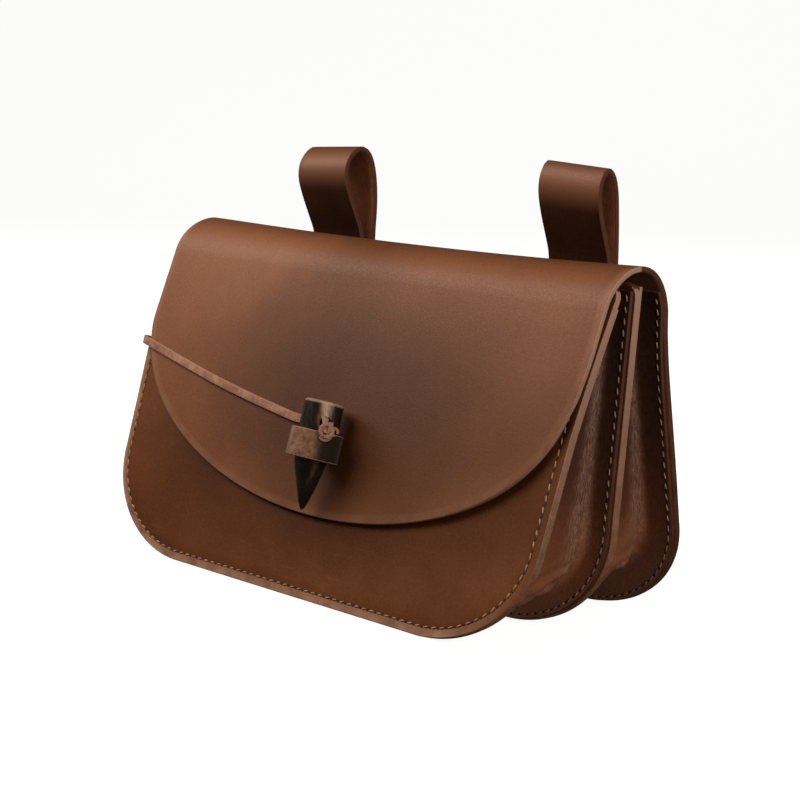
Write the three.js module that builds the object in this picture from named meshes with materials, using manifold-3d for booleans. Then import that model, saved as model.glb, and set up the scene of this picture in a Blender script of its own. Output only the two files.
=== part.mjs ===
// A leather belt pouch with two gusseted pockets, a flap closed by a horn toggle and two belt loops.
// Units are millimetres. +Z is up, the front faces -Y and +X is to the right seen from the front.
// The pouch stands on the lower edges of its three panels, with the origin under its middle.

import * as THREE from 'three';
import { mergeVertices } from 'three/addons/utils/BufferGeometryUtils.js';
import Module from 'manifold-3d';

// ---------------------------------------------------------------- driving dimensions

const LEATHER = 2.0;             // panels, flap, belt loops and keeper
const GUSSET_LEATHER = 1.5;      // the softer leather of the two gussets
const GAP = 0.3;                 // clearance between neighbouring pieces

// Heights on a panel run from its lower edge, foot, to its top, height.
const PANEL = { topHalf: 124, lowHalf: 120, foot: -2, height: 132, cornerWide: 50, cornerHigh: 38 };
const DIVIDER_HEIGHT = 127;      // the divider stops short, under the arch of the flap

// A leaf is the plane of one panel's front face: at height 0 it is foot back and lift up, lean
// tips its top backwards, and the panel in it stands shift to the right.
const LEAF = {
  front: { foot: -40.9, lift: 2.5, lean: 17.0, shift: -2.3 },
  divider: { foot: 2.9, lift: 2.08, lean: 2.3, shift: 0 },
  back: { foot: 46.9, lift: 1.97, lean: -10.8, shift: 0 },
};

const FLAP = {
  gap: 2.0,                      // clear of the front panel's face
  shift: 2.0,                    // the flap sits a little to the right of the panels
  half: 124,
  archFront: 130,                // height on the front leaf where the flap leaves the arch
  archBack: 118,                 // height on the back leaf where the arch begins
  riseFront: 12,                 // how far each side runs straight on into the arch
  riseBack: 23,
  sag: 2.0,                      // how far the ridge sinks in the middle
  tuck: 7,                       // how far the arch's left end is drawn in
  droop: 0.5,                    // how far the arch's left corner hangs down
  roundHeight: 95,               // the round end starts here and reaches down by roundDrop
  roundHalf: 122,
  roundDrop: 65.5,
};

const FRONT_TUCK = 0.55;         // the share of the tuck where the flap leaves the arch

// The web leaves the front flange, sweeps back and turns at the fold, close to the panel behind.
const GUSSET = {
  flange: 7,
  inset: 0.7,                    // from the edge of the panel to the edge of the flange
  foldRadius: 3.4,
  foldFrom: -65,                 // the fold turns through these two angles, in degrees
  foldTo: 90,
  bulge: 1.2,                    // how far the web stands out in its middle
  topGap: 3,                     // from the top of the panel to the top of the gusset
};
const FOLD_DEPTH = { front: 13.5, rear: 17 };
const REAR_GUSSET_TOP = FLAP.archBack - 1;

// The straps are sewn on at x, a little higher or lower, splay apart at the top, and stand open
// by more or less.
const LOOP = {
  width: 29.5,
  pivot: 95,
  left: { x: -53.4, rise: 0, splay: 3, open: 3.5 },
  right: { x: 76.5, rise: 1.2, splay: -3, open: -2.5 },
};

const HORN = { x: 9.5, top: 73.8, clear: 14.4, sides: 14 };
const KEEPER = { low: 51, high: 63, inner: 7.9, leg: 1.25, tab: 13, opening: 160 };
const HOLE = { height: 66, radius: 2.2, turn: 25 };

const THONG = {
  width: 3.4,
  thick: 1.6,
  knot: 2.8,
  sideHeight: 84,                // where it turns round the front panel's left edge
  backHole: -94,
  backHeight: 80,
  holeRadius: 2.2,
};

const CUT_LENGTH = 30;           // long enough for a drill or a punch to pass right through
const DRILL_SIDES = 16;

// ---------------------------------------------------------------- materials

function leather(colour, roughness) {
  return new THREE.MeshStandardMaterial({ color: colour, roughness, metalness: 0 });
}

const MATERIALS = {
  panel: leather(0x5b3822, 0.5),
  flap: leather(0x694531, 0.5),
  gusset: leather(0x4a2b19, 0.42),
  strap: leather(0x5a3926, 0.5),
  keeper: leather(0x5e4030, 0.7),
  lace: leather(0x9a6d53, 0.65),
  horn: leather(0x2a1d17, 0.3),
};

// ---------------------------------------------------------------- frames

const radians = THREE.MathUtils.degToRad;

// A point of a leaf: x across, s up along the leaf and n forward from its front face.
function onLeaf(leaf, x, s, n) {
  const lean = radians(leaf.lean);
  const y = leaf.foot + s * Math.sin(lean) - n * Math.cos(lean);
  const z = leaf.lift + s * Math.cos(lean) + n * Math.sin(lean);
  return new THREE.Vector3(x, y, z);
}

// A group whose own X, Y and Z are the leaf's x, s and n.
function leafGroup(leaf) {
  const group = new THREE.Group();
  group.rotation.x = radians(90 - leaf.lean);
  group.position.set(0, leaf.foot, leaf.lift);
  return group;
}

// ---------------------------------------------------------------- solids from sheets

// A closed sheet: pointAt(i, j, face) gives its points, where face 1 is seen with i to the right
// and j upward, and face 0 is the other side.
function sheet(columns, rows, pointAt) {
  const positions = [];
  const index = [];
  const stride = columns + 1;
  const sideSize = stride * (rows + 1);
  for (const face of [0, 1]) {
    for (let j = 0; j <= rows; j++) {
      for (let i = 0; i <= columns; i++) {
        positions.push(...pointAt(i, j, face).toArray());
      }
    }
  }
  const at = (i, j, face) => face * sideSize + j * stride + i;
  const quad = (a, b, c, d) => index.push(a, b, c, a, c, d);
  for (let j = 0; j < rows; j++) {
    for (let i = 0; i < columns; i++) {
      quad(at(i, j, 1), at(i + 1, j, 1), at(i + 1, j + 1, 1), at(i, j + 1, 1));
      quad(at(i, j, 0), at(i, j + 1, 0), at(i + 1, j + 1, 0), at(i + 1, j, 0));
    }
  }
  for (let i = 0; i < columns; i++) {
    quad(at(i, 0, 0), at(i + 1, 0, 0), at(i + 1, 0, 1), at(i, 0, 1));
    quad(at(i, rows, 1), at(i + 1, rows, 1), at(i + 1, rows, 0), at(i, rows, 0));
  }
  for (let j = 0; j < rows; j++) {
    quad(at(0, j, 1), at(0, j + 1, 1), at(0, j + 1, 0), at(0, j, 0));
    quad(at(columns, j, 0), at(columns, j + 1, 0), at(columns, j + 1, 1), at(columns, j, 1));
  }
  const geometry = new THREE.BufferGeometry();
  geometry.setAttribute('position', new THREE.Float32BufferAttribute(positions, 3));
  geometry.setIndex(index);
  geometry.computeVertexNormals();
  return geometry;
}

// A closed tube through rings of points that run anticlockwise seen from its end.
function loft(rings) {
  const sides = rings[0].length;
  const positions = rings.flat().flatMap((point) => point.toArray());
  const index = [];
  for (let k = 0; k < rings.length - 1; k++) {
    for (let i = 0; i < sides; i++) {
      const a = k * sides + i;
      const b = k * sides + (i + 1) % sides;
      index.push(a, b, b + sides, a, b + sides, a + sides);
    }
  }
  const last = (rings.length - 1) * sides;
  for (let i = 1; i < sides - 1; i++) {
    index.push(0, i + 1, i);
    index.push(last, last + i, last + i + 1);
  }
  const geometry = new THREE.BufferGeometry();
  geometry.setAttribute('position', new THREE.Float32BufferAttribute(positions, 3));
  geometry.setIndex(index);
  geometry.computeVertexNormals();
  return geometry;
}

// A flat path of 2-D points, moved sideways by distance to its left, with mitred bends.
function offsetPath(path, distance) {
  return path.map((point, k) => {
    const before = path[Math.max(k - 1, 0)];
    const after = path[Math.min(k + 1, path.length - 1)];
    const into = (k > 0 ? point.clone().sub(before) : after.clone().sub(point)).normalize();
    const out = (k < path.length - 1 ? after.clone().sub(point) : point.clone().sub(before)).normalize();
    const normal = new THREE.Vector2(-into.y - out.y, into.x + out.x).normalize();
    const stretch = 1 / (normal.x * -into.y + normal.y * into.x);
    return point.clone().addScaledVector(normal, distance * stretch);
  });
}

// ---------------------------------------------------------------- cutting and joining

const wasm = await Module();
wasm.setup();

function toSolid(geometry) {
  const bare = geometry.clone();
  bare.deleteAttribute('normal');
  bare.deleteAttribute('uv');
  const merged = mergeVertices(bare);
  const vertProperties = new Float32Array(merged.attributes.position.array);
  const triVerts = new Uint32Array(merged.index.array);
  return new wasm.Manifold(new wasm.Mesh({ numProp: 3, vertProperties, triVerts }));
}

function toGeometry(solid) {
  const mesh = solid.getMesh();
  const geometry = new THREE.BufferGeometry();
  geometry.setAttribute('position', new THREE.Float32BufferAttribute(mesh.vertProperties, 3));
  geometry.setIndex(Array.from(mesh.triVerts));
  geometry.computeVertexNormals();
  return geometry;
}

function cut(geometry, ...tools) {
  let solid = toSolid(geometry);
  for (const tool of tools) solid = solid.subtract(toSolid(tool));
  return toGeometry(solid);
}

function drillOf(radius) {
  return new THREE.CylinderGeometry(radius, radius, CUT_LENGTH, DRILL_SIDES);
}

function join(geometry, ...others) {
  let solid = toSolid(geometry);
  for (const other of others) solid = solid.add(toSolid(other));
  return toGeometry(solid);
}

// ---------------------------------------------------------------- panels

// Heights up a panel with its half width there: the rounded lower corners, then the straight side.
function panelRows(height) {
  const rows = [];
  const cornerSteps = 10;
  for (let k = 0; k <= cornerSteps; k++) {
    const angle = (k / cornerSteps) * Math.PI / 2;
    const half = PANEL.lowHalf - PANEL.cornerWide + PANEL.cornerWide * Math.sin(angle);
    rows.push({ s: THREE.MathUtils.lerp(PANEL.cornerHigh, PANEL.foot, Math.cos(angle)), half });
  }
  rows.push({ s: height, half: sideHalf(height) });
  return rows;
}

function sideHalf(s) {
  const up = (s - PANEL.cornerHigh) / (PANEL.height - PANEL.cornerHigh);
  return PANEL.lowHalf + (PANEL.topHalf - PANEL.lowHalf) * up;
}

// The slot that the keeper's two legs pass through, in leaf coordinates.
function keeperSlot() {
  const wide = 2 * (KEEPER.leg + LEATHER / 2 + GAP);
  const high = KEEPER.high - KEEPER.low + 2 * GAP;
  const slot = new THREE.BoxGeometry(wide, high, CUT_LENGTH);
  return slot.translate(HORN.x, (KEEPER.low + KEEPER.high) / 2, 0);
}

function flatPanel(height, shift) {
  const rows = panelRows(height);
  const columns = 2;
  return sheet(columns, rows.length - 1, (i, j, face) => {
    const x = shift + rows[j].half * (2 * i / columns - 1);
    return new THREE.Vector3(x, rows[j].s, face ? 0 : -LEATHER);
  });
}

// ---------------------------------------------------------------- back panel, arch and flap

// Rows of the one-piece back and flap, from the foot of the back panel over the arch to the
// round end. Each row has its outer and inner edge in y and z, its half width, its middle, and
// how much of the ridge's sag and of the left end's tuck it takes.
function backAndFlapRows() {
  const rows = [];
  const addLeafRow = (leaf, s, outer, inner, half, middle) => {
    rows.push({
      outer: onLeaf(leaf, 0, s, outer),
      inner: onLeaf(leaf, 0, s, inner),
      half,
      middle,
      sag: 0,
      tuck: 0,
    });
  };
  for (const row of panelRows(FLAP.archBack)) {
    addLeafRow(LEAF.back, row.s, -LEATHER, 0, row.half, 0);
  }

  const flapInner = FLAP.gap;
  const flapOuter = FLAP.gap + LEATHER;
  const start = onLeaf(LEAF.back, 0, FLAP.archBack, -LEATHER);
  const end = onLeaf(LEAF.front, 0, FLAP.archFront, flapOuter);
  const arch = new THREE.CubicBezierCurve3(
    start,
    onLeaf(LEAF.back, 0, FLAP.archBack + FLAP.riseBack, -LEATHER),
    onLeaf(LEAF.front, 0, FLAP.archFront + FLAP.riseFront, flapOuter),
    end,
  );
  const archSteps = 14;
  for (let k = 1; k < archSteps; k++) {
    const t = k / archSteps;
    const outer = arch.getPoint(t);
    const along = arch.getTangent(t);
    const inward = new THREE.Vector3(0, -along.z, along.y).normalize();
    const inner = outer.clone().addScaledVector(inward, LEATHER);
    const half = THREE.MathUtils.lerp(sideHalf(FLAP.archBack), FLAP.half, t);
    const middle = FLAP.shift * t;
    const sag = Math.sin(Math.PI * t) ** 2;
    const tuck = t < 0.5 ? sag : THREE.MathUtils.lerp(FRONT_TUCK, 1, sag);
    rows.push({ outer, inner, half, middle, sag, tuck });
  }

  addLeafRow(LEAF.front, FLAP.archFront, flapOuter, flapInner, FLAP.half, FLAP.shift);
  rows[rows.length - 1].tuck = FRONT_TUCK;
  const roundSteps = 14;
  const lastAngle = 86;
  for (let k = 0; k <= roundSteps; k++) {
    const angle = radians(lastAngle * k / roundSteps);
    const s = FLAP.roundHeight - FLAP.roundDrop * Math.sin(angle);
    addLeafRow(LEAF.front, s, flapOuter, flapInner, FLAP.roundHalf * Math.cos(angle), FLAP.shift);
  }
  return rows;
}

function backAndFlap() {
  const rows = backAndFlapRows();
  const columns = 10;
  const body = sheet(columns, rows.length - 1, (i, j, face) => {
    const row = rows[j];
    const across = 1 - 2 * i / columns;
    const leftEnd = Math.max(0, -across) ** 8;
    const point = (face ? row.outer : row.inner).clone();
    point.x = row.middle + row.half * across + FLAP.tuck * row.tuck * leftEnd;
    point.z -= FLAP.sag * row.sag * (1 - across * across) + FLAP.droop * row.sag * leftEnd;
    return point;
  });

  const slot = keeperSlot();
  const front = leafGroup(LEAF.front);
  front.updateMatrix();
  slot.translate(0, 0, FLAP.gap).applyMatrix4(front.matrix);

  const drill = drillOf(THONG.holeRadius);
  const back = leafGroup(LEAF.back);
  back.updateMatrix();
  drill.rotateX(Math.PI / 2).translate(THONG.backHole, THONG.backHeight, 0).applyMatrix4(back.matrix);
  return cut(body, slot, drill);
}

// ---------------------------------------------------------------- gussets

// Stations along the U of a panel's edge, from the top left round to the top right. Each has the
// edge point and the direction inward, in leaf coordinates.
function edgeStations(top) {
  const left = [];
  const sideSteps = 7;
  const sideLength = Math.hypot(PANEL.topHalf - PANEL.lowHalf, PANEL.height - PANEL.cornerHigh);
  const sideIn = {
    x: (PANEL.height - PANEL.cornerHigh) / sideLength,
    s: (PANEL.topHalf - PANEL.lowHalf) / sideLength,
  };
  for (let k = 0; k < sideSteps; k++) {
    const s = THREE.MathUtils.lerp(top, PANEL.cornerHigh, k / sideSteps);
    left.push({ x: -sideHalf(s), s, inX: sideIn.x, inS: sideIn.s });
  }
  const cornerSteps = 9;
  const cornerHeight = PANEL.cornerHigh - PANEL.foot;
  for (let k = 0; k <= cornerSteps; k++) {
    const angle = (k / cornerSteps) * Math.PI / 2;
    const x = -(PANEL.lowHalf - PANEL.cornerWide + PANEL.cornerWide * Math.cos(angle));
    const s = PANEL.cornerHigh - cornerHeight * Math.sin(angle);
    const inX = cornerHeight * Math.cos(angle);
    const inS = PANEL.cornerWide * Math.sin(angle);
    const length = Math.hypot(inX, inS);
    left.push({ x, s, inX: inX / length, inS: inS / length });
  }
  left.push({ x: -(PANEL.lowHalf - PANEL.cornerWide) / 2, s: PANEL.foot, inX: 0, inS: 1 });
  const right = left.map((station) => ({ ...station, x: -station.x, inX: -station.inX })).reverse();
  return [...left, { x: 0, s: PANEL.foot, inX: 0, inS: 1 }, ...right];
}

// One gusset seen in section: the front flange, the web and the rear flange, with the fold
// between web and rear flange. The first number is the way in from the edge, the second the way
// back from the panel in front.
function gussetPath(width, foldDepth) {
  const radius = Math.min(GUSSET.foldRadius, width / 2 - GAP);
  const foldMiddle = new THREE.Vector2(foldDepth - radius, width - radius);
  const foldSteps = 6;
  const fold = [];
  for (let k = 0; k <= foldSteps; k++) {
    const angle = radians(THREE.MathUtils.lerp(GUSSET.foldFrom, GUSSET.foldTo, k / foldSteps));
    fold.push(new THREE.Vector2(
      foldMiddle.x + radius * Math.cos(angle), foldMiddle.y + radius * Math.sin(angle)));
  }
  const webStart = new THREE.Vector2(GUSSET.flange, 0);
  const webMiddle = webStart.clone().lerp(fold[0], 0.5);
  webMiddle.x -= GUSSET.bulge;
  return [
    new THREE.Vector2(GUSSET.inset, 0), webStart, webMiddle, ...fold,
    new THREE.Vector2(GUSSET.inset, width),
  ];
}

// One gusset. Its flanges lie on the back of the panel in front (frontN) and on the face of the
// panel behind (rearN).
function gusset(frontLeaf, frontN, rearLeaf, rearN, top, foldDepth) {
  const sections = edgeStations(top).map((station) => {
    const on = (leaf, offset, n) => onLeaf(
      leaf, leaf.shift + station.x + station.inX * offset, station.s + station.inS * offset, n);
    const front = (offset) => on(frontLeaf, offset, frontN);
    const rear = (offset) => on(rearLeaf, offset, rearN);
    const width = front(GUSSET.flange).distanceTo(rear(GUSSET.flange));
    const path = gussetPath(width, foldDepth);
    const place = (point) => front(point.x).lerp(rear(point.x), point.y / width);
    const outside = offsetPath(path, GUSSET_LEATHER / 2).map(place);
    const inside = offsetPath(path, -GUSSET_LEATHER / 2).map(place);
    return [inside, outside];
  });
  const columns = sections[0][0].length - 1;
  return sheet(columns, sections.length - 1, (i, j, face) => sections[j][face][i]);
}

// ---------------------------------------------------------------- belt loops

// The strap's middle line seen from its side, in the back leaf: up beside the panel, round the
// loop and down again over itself. n is negative behind the panel, and share is how much of the
// opening's extra width a point takes.
const LOOP_LINE = [
  { s: 60, n: -3.3, share: 0 }, { s: 95, n: -3.3, share: 0 }, { s: 113, n: -4.6, share: 0 },
  { s: 130, n: -6.9, share: 0 }, { s: 138.5, n: -5.2, share: 0 }, { s: 147.5, n: -3.4, share: 0 },
  { s: 155, n: -2.7, share: 0 }, { s: 160.5, n: -4.4, share: 0.15 },
  { s: 164.2, n: -8.2, share: 0.5 }, { s: 164.6, n: -11.2, share: 0.8 },
  { s: 161.6, n: -13.9, share: 1 }, { s: 156, n: -14.7, share: 1 },
  { s: 149.5, n: -14.4, share: 1 }, { s: 140, n: -13.2, share: 0.8 },
  { s: 129, n: -11.0, share: 0.4 }, { s: 111, n: -7.6, share: 0.1 },
  { s: 95, n: -5.6, share: 0 }, { s: 60, n: -5.6, share: 0 },
];

function beltLoop(open) {
  const line = new THREE.SplineCurve(
    LOOP_LINE.map((point) => new THREE.Vector2(point.n - open * point.share, point.s)));
  const steps = 54;
  const path = line.getPoints(steps);
  const sides = [offsetPath(path, -LEATHER / 2), offsetPath(path, LEATHER / 2)];
  return sheet(1, steps, (i, j, face) => {
    const point = sides[face][j];
    return new THREE.Vector3(LOOP.width * (0.5 - i), point.y - LOOP.pivot, point.x);
  });
}

// ---------------------------------------------------------------- horn toggle and its keeper

// The horn from its cut end to its tip: how far down it is, its radius, and how far its middle
// has moved sideways and towards the flap.
const HORN_SECTIONS = [
  { down: 0, radius: 6.9, aside: 0, back: 0 },
  { down: 0.7, radius: 7.35, aside: 0, back: 0 },
  { down: 10.8, radius: 7.4, aside: 0, back: 0 },
  { down: 18, radius: 6.7, aside: -0.2, back: 0.2 },
  { down: 24, radius: 5.5, aside: -0.6, back: 0.8 },
  { down: 31, radius: 3.8, aside: -1.3, back: 2.2 },
  { down: 37, radius: 2.1, aside: -2.2, back: 3.6 },
  { down: 40.4, radius: 1.0, aside: -2.8, back: 4.6 },
  { down: 41.4, radius: 0.35, aside: -3.0, back: 4.9 },
];

function hornToggle() {
  const rings = HORN_SECTIONS.map((section) => {
    const ring = [];
    for (let k = 0; k < HORN.sides; k++) {
      const angle = 2 * Math.PI * k / HORN.sides;
      ring.push(new THREE.Vector3(
        HORN.x + section.aside + section.radius * Math.cos(angle),
        HORN.top - section.down,
        HORN.clear - section.back + section.radius * Math.sin(angle),
      ));
    }
    return ring;
  });
  const drill = drillOf(HOLE.radius);
  drill.rotateZ(Math.PI / 2).rotateY(-radians(HOLE.turn)).translate(HORN.x, HOLE.height, HORN.clear);
  return cut(loft(rings), drill);
}

// The keeper band seen from above: a tab behind the front panel, a leg forward through the slots,
// the ring round the horn, and the second leg and tab.
function keeperLoop() {
  const middle = KEEPER.inner + LEATHER / 2;
  const behind = -(LEATHER + GAP + LEATHER / 2);
  const half = [new THREE.Vector2(-KEEPER.tab, behind), new THREE.Vector2(-KEEPER.leg, behind)];
  half.push(new THREE.Vector2(-KEEPER.leg, FLAP.gap + LEATHER + 3 * GAP));
  const ringSteps = 16;
  for (let k = 0; k < ringSteps; k++) {
    const angle = radians(-KEEPER.opening * (1 - k / ringSteps));
    half.push(new THREE.Vector2(middle * Math.sin(angle), HORN.clear + middle * Math.cos(angle)));
  }
  const other = half.map((point) => new THREE.Vector2(-point.x, point.y)).reverse();
  const path = [...half, new THREE.Vector2(0, HORN.clear + middle), ...other];
  const sides = [offsetPath(path, LEATHER / 2), offsetPath(path, -LEATHER / 2)];
  return sheet(1, path.length - 1, (i, j, face) => {
    const point = sides[face][j];
    return new THREE.Vector3(HORN.x + point.x, i ? KEEPER.high : KEEPER.low, point.y);
  });
}

// ---------------------------------------------------------------- thong

// The thong's route with the way its flat side faces: out of the horn's hole, over the flap,
// round the left side and through the back panel. x, s and n are on the named leaf.
function thongRoute() {
  const onFlap = FLAP.gap + LEATHER + GAP + THONG.thick / 2;
  const aside = -(sideHalf(THONG.sideHeight) + GAP + THONG.thick / 2);
  const frontAside = aside + LEAF.front.shift;
  const behind = -(LEATHER + GAP + THONG.thick / 2);
  const turn = radians(HOLE.turn);
  const alongHole = (distance) => ({
    x: HORN.x + distance * Math.cos(turn), n: HORN.clear + distance * Math.sin(turn) });
  const s = THONG.backHeight;
  return [
    { leaf: 'front', ...alongHole(10.6), s: 66.2, facing: [-0.4, 0.9] },
    { leaf: 'front', ...alongHole(6), s: 66, facing: [-0.4, 0.9] },
    { leaf: 'front', ...alongHole(0), s: 66, facing: [-0.4, 0.9] },
    { leaf: 'front', ...alongHole(-7), s: 66, facing: [-0.4, 0.9] },
    { leaf: 'front', x: -2.5, s: 66, n: 8.4, facing: [-0.5, 0.87] },
    { leaf: 'front', x: -10, s: 66.4, n: onFlap + 0.6, facing: [-0.3, 0.95] },
    { leaf: 'front', x: -18, s: 67.2, n: onFlap, facing: [0, 1] },
    { leaf: 'front', x: -64, s: 73.4, n: onFlap, facing: [0, 1] },
    { leaf: 'front', x: -108, s: 80.9, n: onFlap, facing: [0, 1] },
    { leaf: 'front', x: -117, s: 82.6, n: onFlap, facing: [0, 1] },
    { leaf: 'front', x: -121.2, s: 83.4, n: onFlap - 1.1, facing: [-0.6, 0.8] },
    { leaf: 'front', x: frontAside, s: THONG.sideHeight, n: 0.4, facing: [-1, 0.1] },
    { leaf: 'front', x: frontAside, s: THONG.sideHeight, n: -3, facing: [-1, 0] },
    { leaf: 'back', x: aside, s: s + 0.4, n: 3, facing: [-1, 0] },
    { leaf: 'back', x: aside, s, n: -2.4, facing: [-1, -0.1] },
    { leaf: 'back', x: aside + 1, s, n: behind - 0.3, facing: [-0.7, -0.7] },
    { leaf: 'back', x: aside + 4, s, n: behind - 0.3, facing: [0, -1] },
    { leaf: 'back', x: THONG.backHole - 5, s, n: behind - 0.3, facing: [0, -1] },
    { leaf: 'back', x: THONG.backHole - 1.2, s, n: behind, facing: [0.4, -0.9] },
    { leaf: 'back', x: THONG.backHole, s, n: -1.6, facing: [1, -0.2] },
    { leaf: 'back', x: THONG.backHole, s, n: THONG.knot, facing: [1, 0] },
  ];
}

function thongStations() {
  const route = thongRoute();
  const places = route.map((stop) => onLeaf(LEAF[stop.leaf], stop.x, stop.s, stop.n));
  const facings = route.map((stop) => {
    const away = onLeaf(LEAF[stop.leaf], stop.facing[0], 0, stop.facing[1]);
    return away.sub(onLeaf(LEAF[stop.leaf], 0, 0, 0)).normalize();
  });
  const curve = new THREE.CatmullRomCurve3(places, false, 'centripetal');
  const stations = [];
  const perStretch = 4;
  const total = (route.length - 1) * perStretch;
  for (let k = 0; k <= total; k++) {
    const stretch = Math.min(Math.floor(k / perStretch), route.length - 2);
    const along = curve.getTangent(k / total);
    const facing = facings[stretch].clone().lerp(facings[stretch + 1], k / perStretch - stretch);
    facing.addScaledVector(along, -facing.dot(along)).normalize();
    stations.push({ centre: curve.getPoint(k / total), facing, side: facing.clone().cross(along) });
  }
  return stations;
}

function thong() {
  const corners = [
    [1, 0.55], [0.8, 1], [-0.8, 1], [-1, 0.55], [-1, -0.55], [-0.8, -1], [0.8, -1], [1, -0.55],
  ];
  const stations = thongStations();
  const rings = stations.map((station) => corners.map(([across, up]) => station.centre.clone()
    .addScaledVector(station.side, across * THONG.width / 2)
    .addScaledVector(station.facing, up * THONG.thick / 2)));
  const knotAt = (station) => {
    const ball = new THREE.IcosahedronGeometry(THONG.knot, 2);
    return ball.translate(station.centre.x, station.centre.y, station.centre.z);
  };
  return join(loft(rings), knotAt(stations[0]), knotAt(stations[stations.length - 1]));
}

// ---------------------------------------------------------------- assembly

function piece(name, geometry, material) {
  const mesh = new THREE.Mesh(geometry, material);
  mesh.name = name;
  return mesh;
}

function looped(name, { x, rise, splay, open }) {
  const loop = piece(name, beltLoop(open), MATERIALS.strap);
  loop.position.set(x, LOOP.pivot + rise, 0);
  loop.rotation.z = radians(splay);
  return loop;
}

const behindPanel = -(LEATHER + GAP + GUSSET_LEATHER / 2);
const beforePanel = GAP + GUSSET_LEATHER / 2;

const frontLeaf = leafGroup(LEAF.front);
frontLeaf.add(
  piece('front_panel', cut(flatPanel(PANEL.height, LEAF.front.shift), keeperSlot()), MATERIALS.panel),
  piece('horn_toggle', hornToggle(), MATERIALS.horn),
  piece('keeper_loop', keeperLoop(), MATERIALS.keeper),
);

const dividerLeaf = leafGroup(LEAF.divider);
dividerLeaf.add(
  piece('divider_panel', flatPanel(DIVIDER_HEIGHT, LEAF.divider.shift), MATERIALS.panel));

const backLeaf = leafGroup(LEAF.back);
backLeaf.add(looped('belt_loop_left', LOOP.left), looped('belt_loop_right', LOOP.right));

const pouch = new THREE.Group();
pouch.add(
  frontLeaf,
  dividerLeaf,
  backLeaf,
  piece('back_and_flap', backAndFlap(), MATERIALS.flap),
  piece('front_gusset', gusset(LEAF.front, behindPanel, LEAF.divider, beforePanel,
    DIVIDER_HEIGHT - GUSSET.topGap, FOLD_DEPTH.front), MATERIALS.gusset),
  piece('rear_gusset', gusset(LEAF.divider, behindPanel, LEAF.back, beforePanel,
    REAR_GUSSET_TOP, FOLD_DEPTH.rear), MATERIALS.gusset),
  piece('thong', thong(), MATERIALS.lace),
);

export default pouch;
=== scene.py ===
# %% [markdown]
# # A leather belt pouch
# The CAD frame gives the plain solids of a pouch: three flat panels, two folding gussets, a back
# piece that runs over the top and down as the flap, two belt loops, and a horn toggle on a lace.
# This lesson dresses each solid as the leather, horn and thread it stands for. The frame is loaded
# first, and each of its solids is hidden once a piece stands for it.

# %% Load the frame
from math import atan2, cos, hypot, pi, radians, sin

import bmesh
import bpy
import numpy as np
from mathutils import Matrix, Vector, noise


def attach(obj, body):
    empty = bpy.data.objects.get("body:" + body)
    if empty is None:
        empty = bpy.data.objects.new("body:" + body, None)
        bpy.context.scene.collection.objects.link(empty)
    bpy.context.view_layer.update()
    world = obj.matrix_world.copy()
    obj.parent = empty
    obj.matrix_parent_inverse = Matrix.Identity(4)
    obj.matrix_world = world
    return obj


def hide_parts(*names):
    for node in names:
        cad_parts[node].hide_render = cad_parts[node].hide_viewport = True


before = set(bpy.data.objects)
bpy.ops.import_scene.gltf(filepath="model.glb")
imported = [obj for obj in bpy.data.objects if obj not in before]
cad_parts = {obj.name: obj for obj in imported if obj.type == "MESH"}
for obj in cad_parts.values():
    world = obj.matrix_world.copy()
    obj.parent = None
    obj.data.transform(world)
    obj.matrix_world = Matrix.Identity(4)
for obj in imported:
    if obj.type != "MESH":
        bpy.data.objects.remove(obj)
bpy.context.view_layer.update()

MM = 0.001

# %% [markdown]
# ## Camera
# The pouch is seen from its right front corner, a little from above, through a long lens from
# under a metre away. An aimed camera could use a Track To constraint. Here its three axes are
# worked out from the angles instead, because the small roll then needs no extra step.

# %% Camera
azimuth, elevation, roll = radians(46.83), radians(9.43), radians(1.27)
aim = Vector((-11.1, 24.0, 68.25)) * MM
distance = 842 * MM
away = Vector((sin(azimuth) * cos(elevation), -cos(azimuth) * cos(elevation), sin(elevation)))
level = (-away).cross(Vector((0, 0, 1))).normalized()
upright = level.cross(-away)
axis_x = cos(roll) * level + sin(roll) * upright
axis_y = cos(roll) * upright - sin(roll) * level
bpy.ops.object.camera_add()
camera = bpy.context.object
camera.name = "camera"
camera.matrix_world = Matrix.Translation(aim + away * distance) @ Matrix(
    (axis_x, axis_y, away)).transposed().to_4x4()
camera.data.lens = 94.8
camera.data.sensor_width = 36
bpy.context.scene.camera = camera
print("camera at", [round(value, 3) for value in camera.location])

# %% [markdown]
# ## Floor and light
# The pouch stands in a small studio: a pale floor that curves up into a pale wall behind, a broad
# soft lamp high at the front left, and weaker ones for the top edges and the shaded side. A sun
# would draw hard shadows, so area lamps are used. The sweep is a plane with one edge extruded up
# and the corner bevelled, which hides the line where floor and wall meet.

# %% Selection helpers
def clear_selection():
    """Leaves nothing selected, and Blender in object mode."""
    if bpy.context.object and bpy.context.object.mode != "OBJECT":
        bpy.ops.object.mode_set(mode="OBJECT")
    bpy.ops.object.select_all(action="DESELECT")


def pick(kind, test):
    """Selects, in edit mode, the vertices, edges or faces for which test says yes."""
    mesh = bmesh.from_edit_mesh(bpy.context.object.data)
    bpy.ops.mesh.select_mode(type=kind)
    bpy.ops.mesh.select_all(action="DESELECT")
    for item in {"VERT": mesh.verts, "EDGE": mesh.edges, "FACE": mesh.faces}[kind]:
        if test(item):
            item.select_set(True)
    mesh.select_flush_mode()
    bmesh.update_edit_mesh(bpy.context.object.data)

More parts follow.
